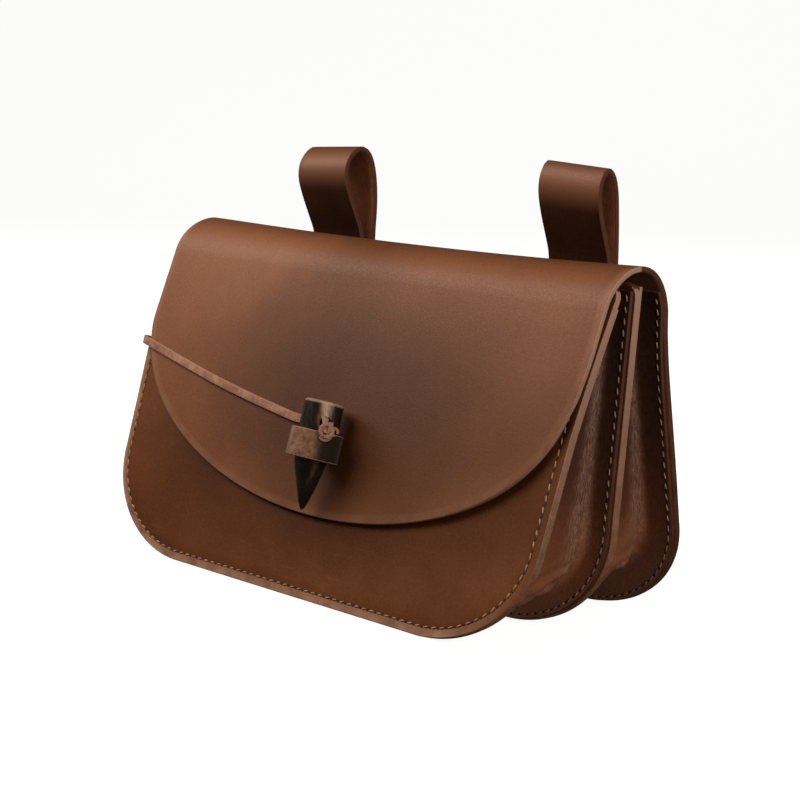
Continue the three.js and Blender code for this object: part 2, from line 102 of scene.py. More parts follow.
# %% Floor, wall and lamps
clear_selection()
bpy.ops.mesh.primitive_plane_add(size=6, location=(0, 0, 0))
studio = bpy.context.object
studio.name = "studio_sweep"
bpy.ops.object.mode_set(mode="EDIT")
pick("EDGE", lambda edge: all(v.co.y > 2.9 for v in edge.verts))
bpy.ops.mesh.extrude_region_move(TRANSFORM_OT_translate={"value": (0, 0, 3)})
pick("EDGE", lambda edge: all(v.co.y > 2.9 and v.co.z < 0.1 for v in edge.verts))
bpy.ops.mesh.bevel(offset=1.2, segments=24, affect="EDGES")
bpy.ops.mesh.select_all(action="SELECT")
bpy.ops.transform.rotate(value=-azimuth, orient_axis="Z", center_override=(0, 0, 0))
bpy.ops.object.mode_set(mode="OBJECT")
bpy.ops.object.shade_smooth()

pale = bpy.data.materials.new("pale_paper")
pale.use_nodes = True
paper = pale.node_tree.nodes["Principled BSDF"]
paper.inputs["Base Color"].default_value = (0.42, 0.42, 0.42, 1)
paper.inputs["Roughness"].default_value = 0.9
paper.inputs["Specular IOR Level"].default_value = 0.0
paper.inputs["Emission Color"].default_value = (1, 1, 1, 1)
paper.inputs["Emission Strength"].default_value = 0.9
studio.data.materials.append(pale)
studio.visible_diffuse = False
studio.visible_glossy = False


def lamp(name, place, target, size, power, colour=(1, 1, 1)):
    """An area lamp at a place, turned towards a target."""
    bpy.ops.object.light_add(type="AREA", location=place)
    light = bpy.context.object
    light.name = name
    light.rotation_euler = (Vector(target) - Vector(place)).to_track_quat("-Z", "Y").to_euler()
    light.data.shape = "RECTANGLE"
    light.data.size, light.data.size_y = size
    light.data.energy = power
    light.data.color = colour
    return light


heart = (0, 0, 0.07)
lamp("key_softbox", (-0.22, -0.6, 0.78), (0, 0, 0.1), (0.7, 0.5), 9.0, (1.0, 0.95, 0.9))
lamp("sheen_softbox", (-0.86, -0.5, 0.68), heart, (0.55, 0.4), 5.2, (1.0, 0.95, 0.9))
lamp("side_fill", (1.05, -0.18, 0.34), heart, (0.5, 0.5), 7.6, (1.0, 0.92, 0.84))
lamp("back_fill", (0.1, 1.2, 0.7), heart, (0.9, 0.6), 3.0, (1.0, 0.97, 0.94))

world = bpy.data.worlds.new("studio")
bpy.context.scene.world = world
world.use_nodes = True
world.node_tree.nodes["Background"].inputs["Color"].default_value = (1, 0.97, 0.95, 1)
world.node_tree.nodes["Background"].inputs["Strength"].default_value = 0.08
bpy.context.scene.view_settings.view_transform = "Standard"

# %% [markdown]
# ## Finishes: the shared effects
# Every leather here shows the same few things: cloudy tone from the tanning oils, a fine skin
# grain, cut edges that wear paler, faint scuffs, and soft balls of tone that are partly a patina,
# where oil and hands have soaked in, and partly painted shade and painted light. Each is a node
# group that is built once, and each material places it with its own values. The alternative, one
# long node tree per material, would have to be changed in many places.

# %% Helpers for node trees
def node(tree, kind, **values):
    """Adds a node and sets its properties, or its sockets where the name is a socket's."""
    made = tree.nodes.new(kind)
    for name, value in values.items():
        socket = made.inputs.get(name.replace("_", " "))
        if socket is not None:
            socket.default_value = value
        else:
            setattr(made, name, value)
    return made


def wire(tree, source, output, target, socket):
    tree.links.new(source.outputs[output], target.inputs[socket])


def arithmetic(tree, operation, first, second):
    """A Math node. Each side is a number, or a (node, output) pair."""
    made = node(tree, "ShaderNodeMath", operation=operation)
    for index, side in enumerate((first, second)):
        if isinstance(side, tuple):
            wire(tree, side[0], side[1], made, index)
        else:
            made.inputs[index].default_value = side
    return made


def new_group(name, inputs, outputs):
    """A shader node group with named sockets. Each input is (name, kind, default)."""
    tree = bpy.data.node_groups.new(name, "ShaderNodeTree")
    for label, kind, default in inputs:
        socket = tree.interface.new_socket(label, in_out="INPUT", socket_type=kind)
        if default is not None:
            socket.default_value = default
    for label, kind in outputs:
        tree.interface.new_socket(label, in_out="OUTPUT", socket_type=kind)
    return tree, tree.nodes.new("NodeGroupInput"), tree.nodes.new("NodeGroupOutput")


# %% Effect: cloudy tone
tone, given, result = new_group(
    "Cloudy tone",
    [("Vector", "NodeSocketVector", None), ("Size", "NodeSocketFloat", 14.0),
     ("Dark", "NodeSocketColor", (0.02, 0.01, 0.005, 1)),
     ("Middle", "NodeSocketColor", (0.08, 0.03, 0.015, 1)),
     ("Light", "NodeSocketColor", (0.2, 0.1, 0.05, 1))],
    [("Color", "NodeSocketColor"), ("Cloud", "NodeSocketFloat")])
clouds = node(tone, "ShaderNodeTexNoise", Detail=4.0, Roughness=0.55, Distortion=0.4)
specks = node(tone, "ShaderNodeTexNoise", Scale=900.0, Detail=3.0, Roughness=0.65)
wire(tone, given, "Vector", clouds, "Vector")
wire(tone, given, "Size", clouds, "Scale")
wire(tone, given, "Vector", specks, "Vector")
share = arithmetic(tone, "MULTIPLY", (specks, "Fac"), 0.3)
both = arithmetic(tone, "MULTIPLY_ADD", (clouds, "Fac"), 0.7)
wire(tone, share, "Value", both, 2)
spread = node(tone, "ShaderNodeMapRange", From_Min=0.32, From_Max=0.68)
wire(tone, both, "Value", spread, "Value")
lower = node(tone, "ShaderNodeMapRange", From_Min=0.0, From_Max=0.5)
upper = node(tone, "ShaderNodeMapRange", From_Min=0.5, From_Max=1.0)
wire(tone, spread, "Result", lower, "Value")
wire(tone, spread, "Result", upper, "Value")
first_mix = node(tone, "ShaderNodeMix", data_type="RGBA")
second_mix = node(tone, "ShaderNodeMix", data_type="RGBA")
wire(tone, lower, "Result", first_mix, 0)
wire(tone, given, "Dark", first_mix, 6)
wire(tone, given, "Middle", first_mix, 7)
wire(tone, upper, "Result", second_mix, 0)
wire(tone, first_mix, 2, second_mix, 6)
wire(tone, given, "Light", second_mix, 7)
wire(tone, second_mix, 2, result, "Color")
wire(tone, spread, "Result", result, "Cloud")
print("group:", tone.name)

# %% Effect: skin grain
grain, given, result = new_group(
    "Skin grain",
    [("Vector", "NodeSocketVector", None), ("Size", "NodeSocketFloat", 1400.0),
     ("Creases", "NodeSocketFloat", 0.0)],
    [("Height", "NodeSocketFloat"), ("Pores", "NodeSocketFloat")])
cells = node(grain, "ShaderNodeTexVoronoi", feature="SMOOTH_F1", Smoothness=0.6)
wander = node(grain, "ShaderNodeTexNoise", Scale=260.0, Detail=3.0)
fine = node(grain, "ShaderNodeTexNoise", Scale=3600.0, Detail=2.0)
for texture in (cells, wander, fine):
    wire(grain, given, "Vector", texture, "Vector")
wire(grain, given, "Size", cells, "Scale")
pebble = arithmetic(grain, "MULTIPLY", (cells, "Distance"), 0.7)
with_fine = arithmetic(grain, "MULTIPLY_ADD", (fine, "Fac"), 0.3)
wire(grain, pebble, "Value", with_fine, 2)
folds = arithmetic(grain, "MULTIPLY", (wander, "Fac"), (given, "Creases"))
height = arithmetic(grain, "ADD", (with_fine, "Value"), (folds, "Value"))
pores = node(grain, "ShaderNodeMapRange", From_Min=0.15, From_Max=0.6)
wire(grain, with_fine, "Value", pores, "Value")
wire(grain, height, "Value", result, "Height")
wire(grain, pores, "Result", result, "Pores")
print("group:", grain.name)

# %% Effect: worn edge
worn, given, result = new_group(
    "Worn edge",
    [("Vector", "NodeSocketVector", None), ("Edge", "NodeSocketFloat", 0.0),
     ("Amount", "NodeSocketFloat", 0.5)],
    [("Mask", "NodeSocketFloat")])
breakup = node(worn, "ShaderNodeTexNoise", Scale=120.0, Detail=4.0, Roughness=0.6)
wire(worn, given, "Vector", breakup, "Vector")
patchy = node(worn, "ShaderNodeMapRange", From_Min=0.3, From_Max=0.65, To_Min=0.35, To_Max=1.0)
wire(worn, breakup, "Fac", patchy, "Value")
soft_edge = arithmetic(worn, "POWER", (given, "Edge"), 1.5)
there = arithmetic(worn, "MULTIPLY", (soft_edge, "Value"), (patchy, "Result"))
mask = arithmetic(worn, "MULTIPLY", (there, "Value"), (given, "Amount"))
wire(worn, mask, "Value", result, "Mask")
print("group:", worn.name)

# %% Effect: faint scuffs
scuffs, given, result = new_group(
    "Faint scuffs",
    [("Vector", "NodeSocketVector", None), ("Amount", "NodeSocketFloat", 0.3)],
    [("Mask", "NodeSocketFloat")])
turned = node(scuffs, "ShaderNodeMapping", Rotation=(0.3, 0.5, 0.7), Scale=(40, 40, 700))
streaks = node(scuffs, "ShaderNodeTexNoise", Scale=1.0, Detail=3.0, Roughness=0.6)
wire(scuffs, given, "Vector", turned, "Vector")
wire(scuffs, turned, "Vector", streaks, "Vector")
thin = node(scuffs, "ShaderNodeMapRange", From_Min=0.62, From_Max=0.78)
wire(scuffs, streaks, "Fac", thin, "Value")
scaled = arithmetic(scuffs, "MULTIPLY", (thin, "Result"), (given, "Amount"))
wire(scuffs, scaled, "Value", result, "Mask")
print("group:", scuffs.name)

# %% Effect: patina and painted tone
# A soft ball of tone, used for patina and for painted shade and painted light.
patina_and_painted_tone, given, result = new_group(
    "Patina and painted tone",
    [("Vector", "NodeSocketVector", None), ("Amount", "NodeSocketFloat", 1.0)],
    [("Mask", "NodeSocketFloat")])
ball = node(patina_and_painted_tone, "ShaderNodeTexGradient", gradient_type="SPHERICAL")
uneven = node(patina_and_painted_tone, "ShaderNodeTexNoise", Scale=2.5, Detail=3.0)
wire(patina_and_painted_tone, given, "Vector", ball, "Vector")
wire(patina_and_painted_tone, given, "Vector", uneven, "Vector")
wavering = arithmetic(patina_and_painted_tone, "MULTIPLY_ADD", (uneven, "Fac"), 0.3)
wire(patina_and_painted_tone, ball, "Fac", wavering, 2)
soft = node(patina_and_painted_tone, "ShaderNodeMapRange", interpolation_type="SMOOTHSTEP", From_Min=0.15,
            From_Max=0.95)
wire(patina_and_painted_tone, wavering, "Value", soft, "Value")
strength = arithmetic(patina_and_painted_tone, "MULTIPLY", (soft, "Result"), (given, "Amount"))
wire(patina_and_painted_tone, strength, "Value", result, "Mask")
print("group:", patina_and_painted_tone.name)

# %% [markdown]
# ## Finishes: the materials
# One function makes each leather from the shared effects: the face of a panel, the paler cut edge,
# the rough flesh side. The colours are in linear light. Roughness and a very low bump come from
# the grain, and the bump's distance is in metres, so it stays true to the real thickness.

# %% Leathers
def placed(tree, group, **values):
    made = tree.nodes.new("ShaderNodeGroup")
    made.node_tree = group
    for name, value in values.items():
        made.inputs[name.replace("_", " ")].default_value = value
    return made


def blend_colour(tree, mask, base, colour):
    """Mixes a plain colour over a base by a mask. Mask and base are (node, output) pairs."""
    mix = node(tree, "ShaderNodeMix", data_type="RGBA")
    wire(tree, mask[0], mask[1], mix, 0)
    wire(tree, base[0], base[1], mix, 6)
    mix.inputs[7].default_value = (*colour, 1)
    return mix


def leather(name, dark, middle, light, edge, size=14.0, rough=(0.4, 0.56), grain_size=1400.0,
            bump=0.04, wear=0.5, scuff=0.08, creases=0.6, sheen=0.0, specular=0.15):
    """A leather face: cloudy tone, grain, paler worn edges and faint scuffs."""
    material = bpy.data.materials.new(name)
    material.use_nodes = True
    tree = material.node_tree
    shader = tree.nodes["Principled BSDF"]
    place = node(tree, "ShaderNodeTexCoord")
    marked = node(tree, "ShaderNodeAttribute", attribute_name="edge")
    colours = placed(tree, tone, Size=size, Dark=(*dark, 1), Middle=(*middle, 1),
                     Light=(*light, 1))
    skin = placed(tree, grain, Size=grain_size, Creases=creases)
    edges = placed(tree, worn, Amount=wear)
    marks = placed(tree, scuffs, Amount=scuff)
    for group_node in (colours, skin, edges, marks):
        wire(tree, place, "Object", group_node, "Vector")
    wire(tree, marked, "Fac", edges, "Edge")
    edged = blend_colour(tree, (edges, "Mask"), (colours, "Color"), edge)
    scuffed = blend_colour(tree, (marks, "Mask"), (edged, 2), edge)
    scuffed.name = "skin colour"
    wire(tree, scuffed, 2, shader, "Base Color")
    gloss = node(tree, "ShaderNodeMapRange", To_Min=rough[0], To_Max=rough[1])
    wire(tree, skin, "Pores", gloss, "Value")
    wire(tree, gloss, "Result", shader, "Roughness")
    relief = node(tree, "ShaderNodeBump", Distance=bump * MM, Strength=1.0)
    relief.name = "skin relief"
    wire(tree, skin, "Height", relief, "Height")
    wire(tree, relief, "Normal", shader, "Normal")
    shader.inputs["Specular IOR Level"].default_value = specular
    shader.inputs["Specular Tint"].default_value = (1.0, 0.86, 0.76, 1)
    shader.inputs["Sheen Weight"].default_value = sheen
    return material


panel_leather = leather(
    "panel_leather", (0.064, 0.0175, 0.004), (0.1, 0.03, 0.008), (0.145, 0.049, 0.016),
    (0.36, 0.2, 0.12), wear=0.9, specular=0.11)
flap_leather = leather(
    "flap_leather", (0.112, 0.0355, 0.012), (0.16, 0.054, 0.0185), (0.212, 0.079, 0.031),
    (0.32, 0.165, 0.1), size=11.0, wear=0.4, specular=0.22)
gusset_leather = leather(
    "gusset_leather", (0.05, 0.014, 0.005), (0.085, 0.026, 0.01), (0.13, 0.045, 0.02),
    (0.2, 0.09, 0.05), size=22.0, rough=(0.3, 0.46), grain_size=900.0, bump=0.1, creases=1.2,
    specular=0.4)
# The strap's very dark tones are partly dark leather and partly painted shade on the loops' lower
# strands.
strap_leather = leather(
    "strap_leather", (0.014, 0.004, 0.0012), (0.024, 0.007, 0.0022), (0.042, 0.013, 0.005),
    (0.1, 0.045, 0.022), size=30.0, rough=(0.34, 0.48), specular=0.15)
strap_flesh = leather(
    "strap_flesh", (0.17, 0.05, 0.018), (0.26, 0.082, 0.03), (0.36, 0.125, 0.052),
    (0.3, 0.12, 0.06), size=60.0, rough=(0.8, 0.95), grain_size=2600.0, bump=0.2, sheen=0.05)
keeper_leather = leather(
    "keeper_leather", (0.08, 0.033, 0.017), (0.14, 0.064, 0.036), (0.22, 0.12, 0.075),
    (0.38, 0.23, 0.15), size=420.0, rough=(0.6, 0.85), bump=0.12, sheen=0.1)
lace_leather = leather(
    "lace_leather", (0.14, 0.055, 0.028), (0.24, 0.11, 0.065), (0.34, 0.185, 0.125),
    (0.42, 0.25, 0.17), size=160.0, rough=(0.5, 0.7), bump=0.06)
flesh_side = leather(
    "flesh_side", (0.08, 0.025, 0.01), (0.13, 0.042, 0.016), (0.19, 0.07, 0.03),
    (0.22, 0.1, 0.05), size=60.0, rough=(0.8, 0.95), grain_size=2600.0, bump=0.2, sheen=0.05)
print("leathers:", len([m for m in bpy.data.materials if "leather" in m.name]))

# %% [markdown]
# Soft balls of tone darken or lighten the leather in a few places. The middle of the flap darkens,
# partly as handling patina and partly as painted shade; the ridge gets a band of painted shade; the
# front panel round the toggle, below the flap, gets patina and painted shade; the gussets get painted
# light low down and painted shade near the top. A painted mask could say where, but a soft ball of
# tone, placed and stretched over each place, is quicker and needs no map.

# %% Patina, painted shade and painted light on the flap, the front panel and the gussets
def add_patina_and_painted_tone(material, centre, radii, tint):
    """Multiplies a leather by a tint round a centre, out to the radii, all in metres."""
    tree = material.node_tree
    colour = tree.nodes["Principled BSDF"].inputs["Base Color"]
    so_far = colour.links[0].from_socket
    place = node(tree, "ShaderNodeTexCoord")
    drawn = node(tree, "ShaderNodeMapping", vector_type="TEXTURE", Location=centre, Scale=radii)
    tone_ball = placed(tree, patina_and_painted_tone)
    tinted = node(tree, "ShaderNodeMix", data_type="RGBA", blend_type="MULTIPLY")
    tinted.inputs[7].default_value = (*tint, 1)
    wire(tree, place, "Object", drawn, "Vector")
    wire(tree, drawn, "Vector", tone_ball, "Vector")
    wire(tree, tone_ball, "Mask", tinted, 0)
    tree.links.new(so_far, tinted.inputs[6])
    tree.links.new(tinted.outputs[2], colour)


# The middle of the flap: partly handling patina, partly painted shade.
add_patina_and_painted_tone(flap_leather, (0.02, -0.03, 0.076), (0.14, 0.12, 0.07), (0.43, 0.38, 0.33))
# A band of painted shade along the ridge.
add_patina_and_painted_tone(flap_leather, (0.0, 0.014, 0.14), (0.3, 0.026, 0.016), (0.5, 0.46, 0.42))
# The front panel below the flap: painted shade under the flap, and patina.
add_patina_and_painted_tone(panel_leather, (0.02, -0.04, 0.052), (0.17, 0.12, 0.06), (0.52, 0.45, 0.38))
# The gussets: painted light low down, and painted shade near the top.
add_patina_and_painted_tone(gusset_leather, (0.0, 0.0, -0.005), (0.5, 0.2, 0.075), (2.2, 2.2, 2.2))
add_patina_and_painted_tone(gusset_leather, (0.0, 0.01, 0.135), (0.5, 0.3, 0.115), (0.2, 0.16, 0.13))
print("patina on:", flap_leather.name, panel_leather.name, gusset_leather.name)

# %% [markdown]
# A few places need more than a plain face. A sawn and burnished edge is paler near the top and
# darker near the ground, so its colour also follows the height. A gusset's fold carries a pale
# painted highlight and fine wrinkles: the wrinkles run along the fold, so their noise is read from an
# attribute called flow, which says how far across and along the strip a point lies. An attribute
# called band marks where a leather takes another colour: a painted highlight on top of a belt loop,
# and painted shade on the right of the keeper.

# %% Cut edges, creased folds with a painted highlight, and painted bands
def edge_finish(name, low, high):
    """A burnished cut edge whose colour turns from one near the ground to another near the top."""
    material = leather(name, low[0], low[1], low[2], high, size=260.0, rough=(0.45, 0.65),
                       grain_size=2400.0, bump=0.1, wear=0.0, scuff=0.0)
    tree = material.node_tree
    shader = tree.nodes["Principled BSDF"]
    height = node(tree, "ShaderNodeSeparateXYZ")
    place = node(tree, "ShaderNodeTexCoord")
    wire(tree, place, "Object", height, "Vector")
    rise = node(tree, "ShaderNodeMapRange", From_Min=0.02, From_Max=0.12, To_Max=0.85)
    wire(tree, height, "Z", rise, "Value")
    mixed = blend_colour(tree, (rise, "Result"), (tree.nodes["skin colour"], 2), high)
    wire(tree, mixed, 2, shader, "Base Color")
    return material


def crease_and_highlight(material, colour, depth):
    """Adds the finely wrinkled fold and its pale painted highlight, where the attribute band says it
    is.
    """
    tree = material.node_tree
    shader = tree.nodes["Principled BSDF"]
    so_far = shader.inputs["Base Color"].links[0].from_node
    flow = node(tree, "ShaderNodeAttribute", attribute_name="flow")
    band = node(tree, "ShaderNodeAttribute", attribute_name="band")
    drawn = node(tree, "ShaderNodeMapping", Scale=(95, 150, 1))
    wire(tree, flow, "Vector", drawn, "Vector")
    wrinkles = node(tree, "ShaderNodeTexNoise", Scale=1.0, Detail=5.0, Roughness=0.65,
                    Distortion=0.8)
    wire(tree, drawn, "Vector", wrinkles, "Vector")
    ridges = node(tree, "ShaderNodeMapRange", From_Min=0.4, From_Max=0.64)
    wire(tree, wrinkles, "Fac", ridges, "Value")
    highlight_there = arithmetic(tree, "MULTIPLY", (ridges, "Result"), (band, "Fac"))
    mixed = blend_colour(tree, (highlight_there, "Value"), (so_far, 2), colour)
    wire(tree, mixed, 2, shader, "Base Color")
    lifted = arithmetic(tree, "MULTIPLY", (wrinkles, "Fac"), (band, "Fac"))
    second = node(tree, "ShaderNodeBump", Distance=depth * MM, Strength=1.0)
    wire(tree, lifted, "Value", second, "Height")
    wire(tree, tree.nodes["skin relief"], "Normal", second, "Normal")
    wire(tree, second, "Normal", shader, "Normal")


def band_colour(material, colour):
    """Turns a leather to a colour where the attribute band says so."""
    tree = material.node_tree
    band = node(tree, "ShaderNodeAttribute", attribute_name="band")
    turned = blend_colour(tree, (band, "Fac"), (tree.nodes["skin colour"], 2), colour)
    wire(tree, turned, 2, tree.nodes["Principled BSDF"], "Base Color")


cut_edge = edge_finish("cut_edge", ((0.09, 0.034, 0.016), (0.15, 0.064, 0.033), (0.22, 0.105, 0.06)),
                       (0.36, 0.21, 0.15))
# dark_edge is painted shade on rims under the arch and towards the back, and the rim of the dark
# straps.
dark_edge = edge_finish("dark_edge", ((0.035, 0.011, 0.005), (0.06, 0.021, 0.01), (0.09, 0.035, 0.018)),
                        (0.085, 0.034, 0.018))
# The pale colour along the gusset's fold is a painted highlight; the wrinkles are real.
crease_and_highlight(gusset_leather, (0.34, 0.19, 0.13), 0.5)
# The keeper's right side is turned near black: painted shade.
band_colour(keeper_leather, (0.012, 0.006, 0.003))
# The top of each belt loop is turned paler: a painted highlight.
band_colour(strap_leather, (0.17, 0.065, 0.03))
print("edges:", cut_edge.name, dark_edge.name)

# %% [markdown]
# The stitching is waxed linen thread through pricked holes, and the toggle is a horn tip. Thread
# and hole are plain enough to need only the cloudy tone. Horn grows in long fibres, so its streaks
# come from a noise that is squeezed across the horn and left long down it.

# %% Thread and stitch holes
def simple_finish(name, dark, middle, light, size, roughness, bump=0.0):
    """A finish with cloudy tone and one roughness."""
    material = bpy.data.materials.new(name)
    material.use_nodes = True
    tree = material.node_tree
    shader = tree.nodes["Principled BSDF"]
    place = node(tree, "ShaderNodeTexCoord")
    colours = placed(tree, tone, Size=size, Dark=(*dark, 1), Middle=(*middle, 1),
                     Light=(*light, 1))
    wire(tree, place, "Object", colours, "Vector")
    wire(tree, colours, "Color", shader, "Base Color")
    shader.inputs["Roughness"].default_value = roughness
    if bump:
        relief = node(tree, "ShaderNodeBump", Distance=bump * MM, Strength=1.0)
        wire(tree, colours, "Cloud", relief, "Height")
        wire(tree, relief, "Normal", shader, "Normal")
    return material


tan_thread = simple_finish("tan_thread", (0.17, 0.07, 0.028), (0.3, 0.135, 0.058),
                           (0.44, 0.23, 0.12), 400.0, 0.6, 0.08)
cream_thread = simple_finish("cream_thread", (0.12, 0.06, 0.04), (0.21, 0.12, 0.085),
                             (0.32, 0.2, 0.15), 400.0, 0.6, 0.08)
# Near-black holes: painted shade inside the pricked holes.
stitch_hole_shade = simple_finish("stitch_hole_shade", (0.004, 0.002, 0.001), (0.008, 0.004, 0.002),
                            (0.012, 0.006, 0.003), 300.0, 0.9)

# %% Horn
horn = bpy.data.materials.new("horn")
horn.use_nodes = True
tree = horn.node_tree
shader = tree.nodes["Principled BSDF"]
place = node(tree, "ShaderNodeTexCoord")
lengthways = node(tree, "ShaderNodeMapping", Rotation=(radians(-17), 0, 0), Scale=(700, 700, 30))
fibres = node(tree, "ShaderNodeTexNoise", Scale=1.0, Detail=5.0, Roughness=0.6)
wire(tree, place, "Object", lengthways, "Vector")
wire(tree, lengthways, "Vector", fibres, "Vector")
base = placed(tree, tone, Size=120.0, Dark=(0.004, 0.0025, 0.0015, 1),
              Middle=(0.008, 0.005, 0.003, 1), Light=(0.022, 0.014, 0.008, 1))
wire(tree, place, "Object", base, "Vector")
faint = node(tree, "ShaderNodeMapRange", From_Min=0.55, From_Max=0.8, To_Max=0.12)
wire(tree, fibres, "Fac", faint, "Value")
fibrous = blend_colour(tree, (faint, "Result"), (base, "Color"), (0.2, 0.11, 0.05))
streak = node(tree, "ShaderNodeAttribute", attribute_name="streak")
parted = node(tree, "ShaderNodeMapRange", From_Min=0.35, From_Max=0.62, To_Min=0.15)
wire(tree, fibres, "Fac", parted, "Value")
golden = arithmetic(tree, "MULTIPLY", (streak, "Fac"), (parted, "Result"))
streaked = blend_colour(tree, (golden, "Value"), (fibrous, 2), (0.55, 0.32, 0.17))
marked = node(tree, "ShaderNodeAttribute", attribute_name="edge")
# The sawn end is paler, and its rim lighter still: a painted highlight.
sawn_end_highlight = blend_colour(tree, (marked, "Fac"), (streaked, 2), (0.5, 0.38, 0.26))
wire(tree, sawn_end_highlight, 2, shader, "Base Color")
relief = node(tree, "ShaderNodeBump", Distance=0.15 * MM, Strength=1.0)
wire(tree, fibres, "Fac", relief, "Height")
wire(tree, relief, "Normal", shader, "Normal")
shader.inputs["Roughness"].default_value = 0.32
shader.inputs["Specular IOR Level"].default_value = 0.22
print("materials:", len(bpy.data.materials))

# %% [markdown]
# ## Where the leather lies
# Each panel lies in a leaning plane, a leaf: its foot is on the ground and its top leans back, or
# forward for the back panel. A point on a leaf is given by x across, s up along the leather and n
# forward from its face. Every piece is made flat in these three and then carried to the leaf, just
# as the maker cuts and stitches it flat.

# %% Leaves and the outline of a panel, in millimetres
LEATHER, GUSSET_LEATHER, GAP = 2.0, 1.5, 0.3
LEAF = {  # foot, lift, lean in degrees, and how far the panel stands to the right
    "front": (-40.9, 2.5, 17.0, -2.3),
    "divider": (2.9, 2.08, 2.3, 0.0),
    "back": (46.9, 1.97, -10.8, 0.0),
}
TOP_HALF, LOW_HALF, PANEL_FOOT, PANEL_HEIGHT = 124.0, 120.0, -2.0, 132.0
CORNER_WIDE, CORNER_HIGH = 50.0, 38.0
DIVIDER_HEIGHT = 127.0
DRAWN_FROM, DRAWN_IN = 84.0, 7.5   # above the lace the flap draws the front panel's left end in
SPREAD_FROM, SPREAD, SPREAD_BACK = 76.0, 2.3, 2.2   # its right end spreads out and bends back
WAIST, WAIST_TOP = 1.6, 118.0                       # the back panel's right edge is drawn in


def end_shift(leaf, x, s):
    """How far a point near the ends of a leaf moves right and back, where the leather gives."""
    left, right = max(0, -x / TOP_HALF) ** 8, max(0, x / TOP_HALF) ** 6
    if leaf == "front":
        drawn = DRAWN_IN * left * max(0, s - DRAWN_FROM) / (PANEL_HEIGHT - DRAWN_FROM)
        spread = right * (max(0, s - SPREAD_FROM) / (PANEL_HEIGHT - SPREAD_FROM)) ** 1.2
        return drawn + SPREAD * spread, SPREAD_BACK * spread
    if leaf == "back":
        up = min(1, max(0, s / WAIST_TOP)) ** 3
        return -WAIST * right * 4 * up * (1 - up), 0
    return 0, 0


def on_leaf(leaf, x, s, n):
    """A point of a leaf, in metres in the frame of the pouch."""
    foot, lift, lean, _ = LEAF[leaf]
    lean = radians(lean)
    aside, back = end_shift(leaf, x, s)
    return Vector((x + aside, foot + back + s * sin(lean) - n * cos(lean),
                   lift + s * cos(lean) + n * sin(lean))) * MM


def side_half(s):
    """Half the width of a panel at height s, above its round corners."""
    return LOW_HALF + (TOP_HALF - LOW_HALF) * (s - CORNER_HIGH) / (PANEL_HEIGHT - CORNER_HIGH)


def carry_to_leaf(piece, leaf, aside=0.0):
    """Moves a mesh made flat, with x, s and n as its x, y and z, onto a leaf."""
    foot, lift, lean, _ = LEAF[leaf]
    shifts = [end_shift(leaf, v.co.x / MM + aside, v.co.y / MM) for v in piece.data.vertices]
    turn = Matrix.Rotation(radians(90 - lean), 4, "X")
    piece.data.transform(Matrix.Translation((aside * MM, foot * MM, lift * MM)) @ turn)
    for vertex, (right, back) in zip(piece.data.vertices, shifts):
        vertex.co += Vector((right, back, 0)) * MM


for leaf in LEAF:
    print(leaf, "top at", [round(value, 4) for value in on_leaf(leaf, 0, PANEL_HEIGHT, 0)])

# %% [markdown]
# ## Cutting a pattern
# A panel is cut from flat leather. Its U could be drawn as a curve, but a circle is quicker: it is
# stretched to the size of the corners, its halves are pulled apart, and its upper half is pushed
# flat or pulled up. Extruding gives the thickness, a bevel burnishes the rims, and insets press the
# shallow groove that the stitches lie in. A mark called edge is kept on the border for the wear.

# %% Cut and crease a flat piece of leather
def mark_selected(piece, value):
    """Writes the edge mark on what is selected in edit mode."""
    mesh = bmesh.from_edit_mesh(piece.data)
    layer = mesh.verts.layers.float.get("edge") or mesh.verts.layers.float.new("edge")
    for vertex in mesh.verts:
        if vertex.select:
            vertex[layer] = value
    bmesh.update_edit_mesh(piece.data)


def cut_outline(name, top, top_half, round_drop=0.0):
    """The flat outline: a U to the height top, closed by a straight or a round end."""
    clear_selection()
    bpy.ops.mesh.primitive_circle_add(vertices=160, radius=1 * MM, fill_type="NGON")
    piece = bpy.context.object
    piece.name = name
    bpy.ops.object.mode_set(mode="EDIT")
    pick("VERT", lambda v: v.co.y < 1e-9)
    bpy.ops.transform.resize(value=(CORNER_WIDE, CORNER_HIGH - PANEL_FOOT, 1),
                             center_override=(0, 0, 0))
    for side in (-1, 1):
        pick("VERT", lambda v: v.co.y < 1e-9 and v.co.x * side > 1e-6)
        bpy.ops.transform.translate(value=(side * (LOW_HALF - CORNER_WIDE) * MM, 0, 0))
    pick("VERT", lambda v: v.co.y > 1e-9)
    if round_drop:
        bpy.ops.transform.resize(value=(top_half, round_drop, 1), center_override=(0, 0, 0))
        bpy.ops.transform.translate(value=(0, (top - round_drop - CORNER_HIGH) * MM, 0))
    else:
        bpy.ops.transform.resize(value=(top_half / cos(2 * pi / 160), 0, 1),
                                 center_override=(0, 0, 0))
        bpy.ops.transform.translate(value=(0, (top - CORNER_HIGH) * MM, 0))
        edge_x = (top_half - 0.01) * MM
        pick("VERT", lambda v: v.co.y > 1e-3 and abs(v.co.x) < edge_x)
        bpy.ops.mesh.dissolve_verts()
        pick("VERT", lambda v: v.co.y > 1e-3)
        bpy.ops.mesh.bevel(offset=5.5 * MM, segments=7, affect="VERTICES")
    bpy.ops.mesh.select_all(action="SELECT")
    bpy.ops.transform.translate(value=(0, CORNER_HIGH * MM, 0))
    return piece


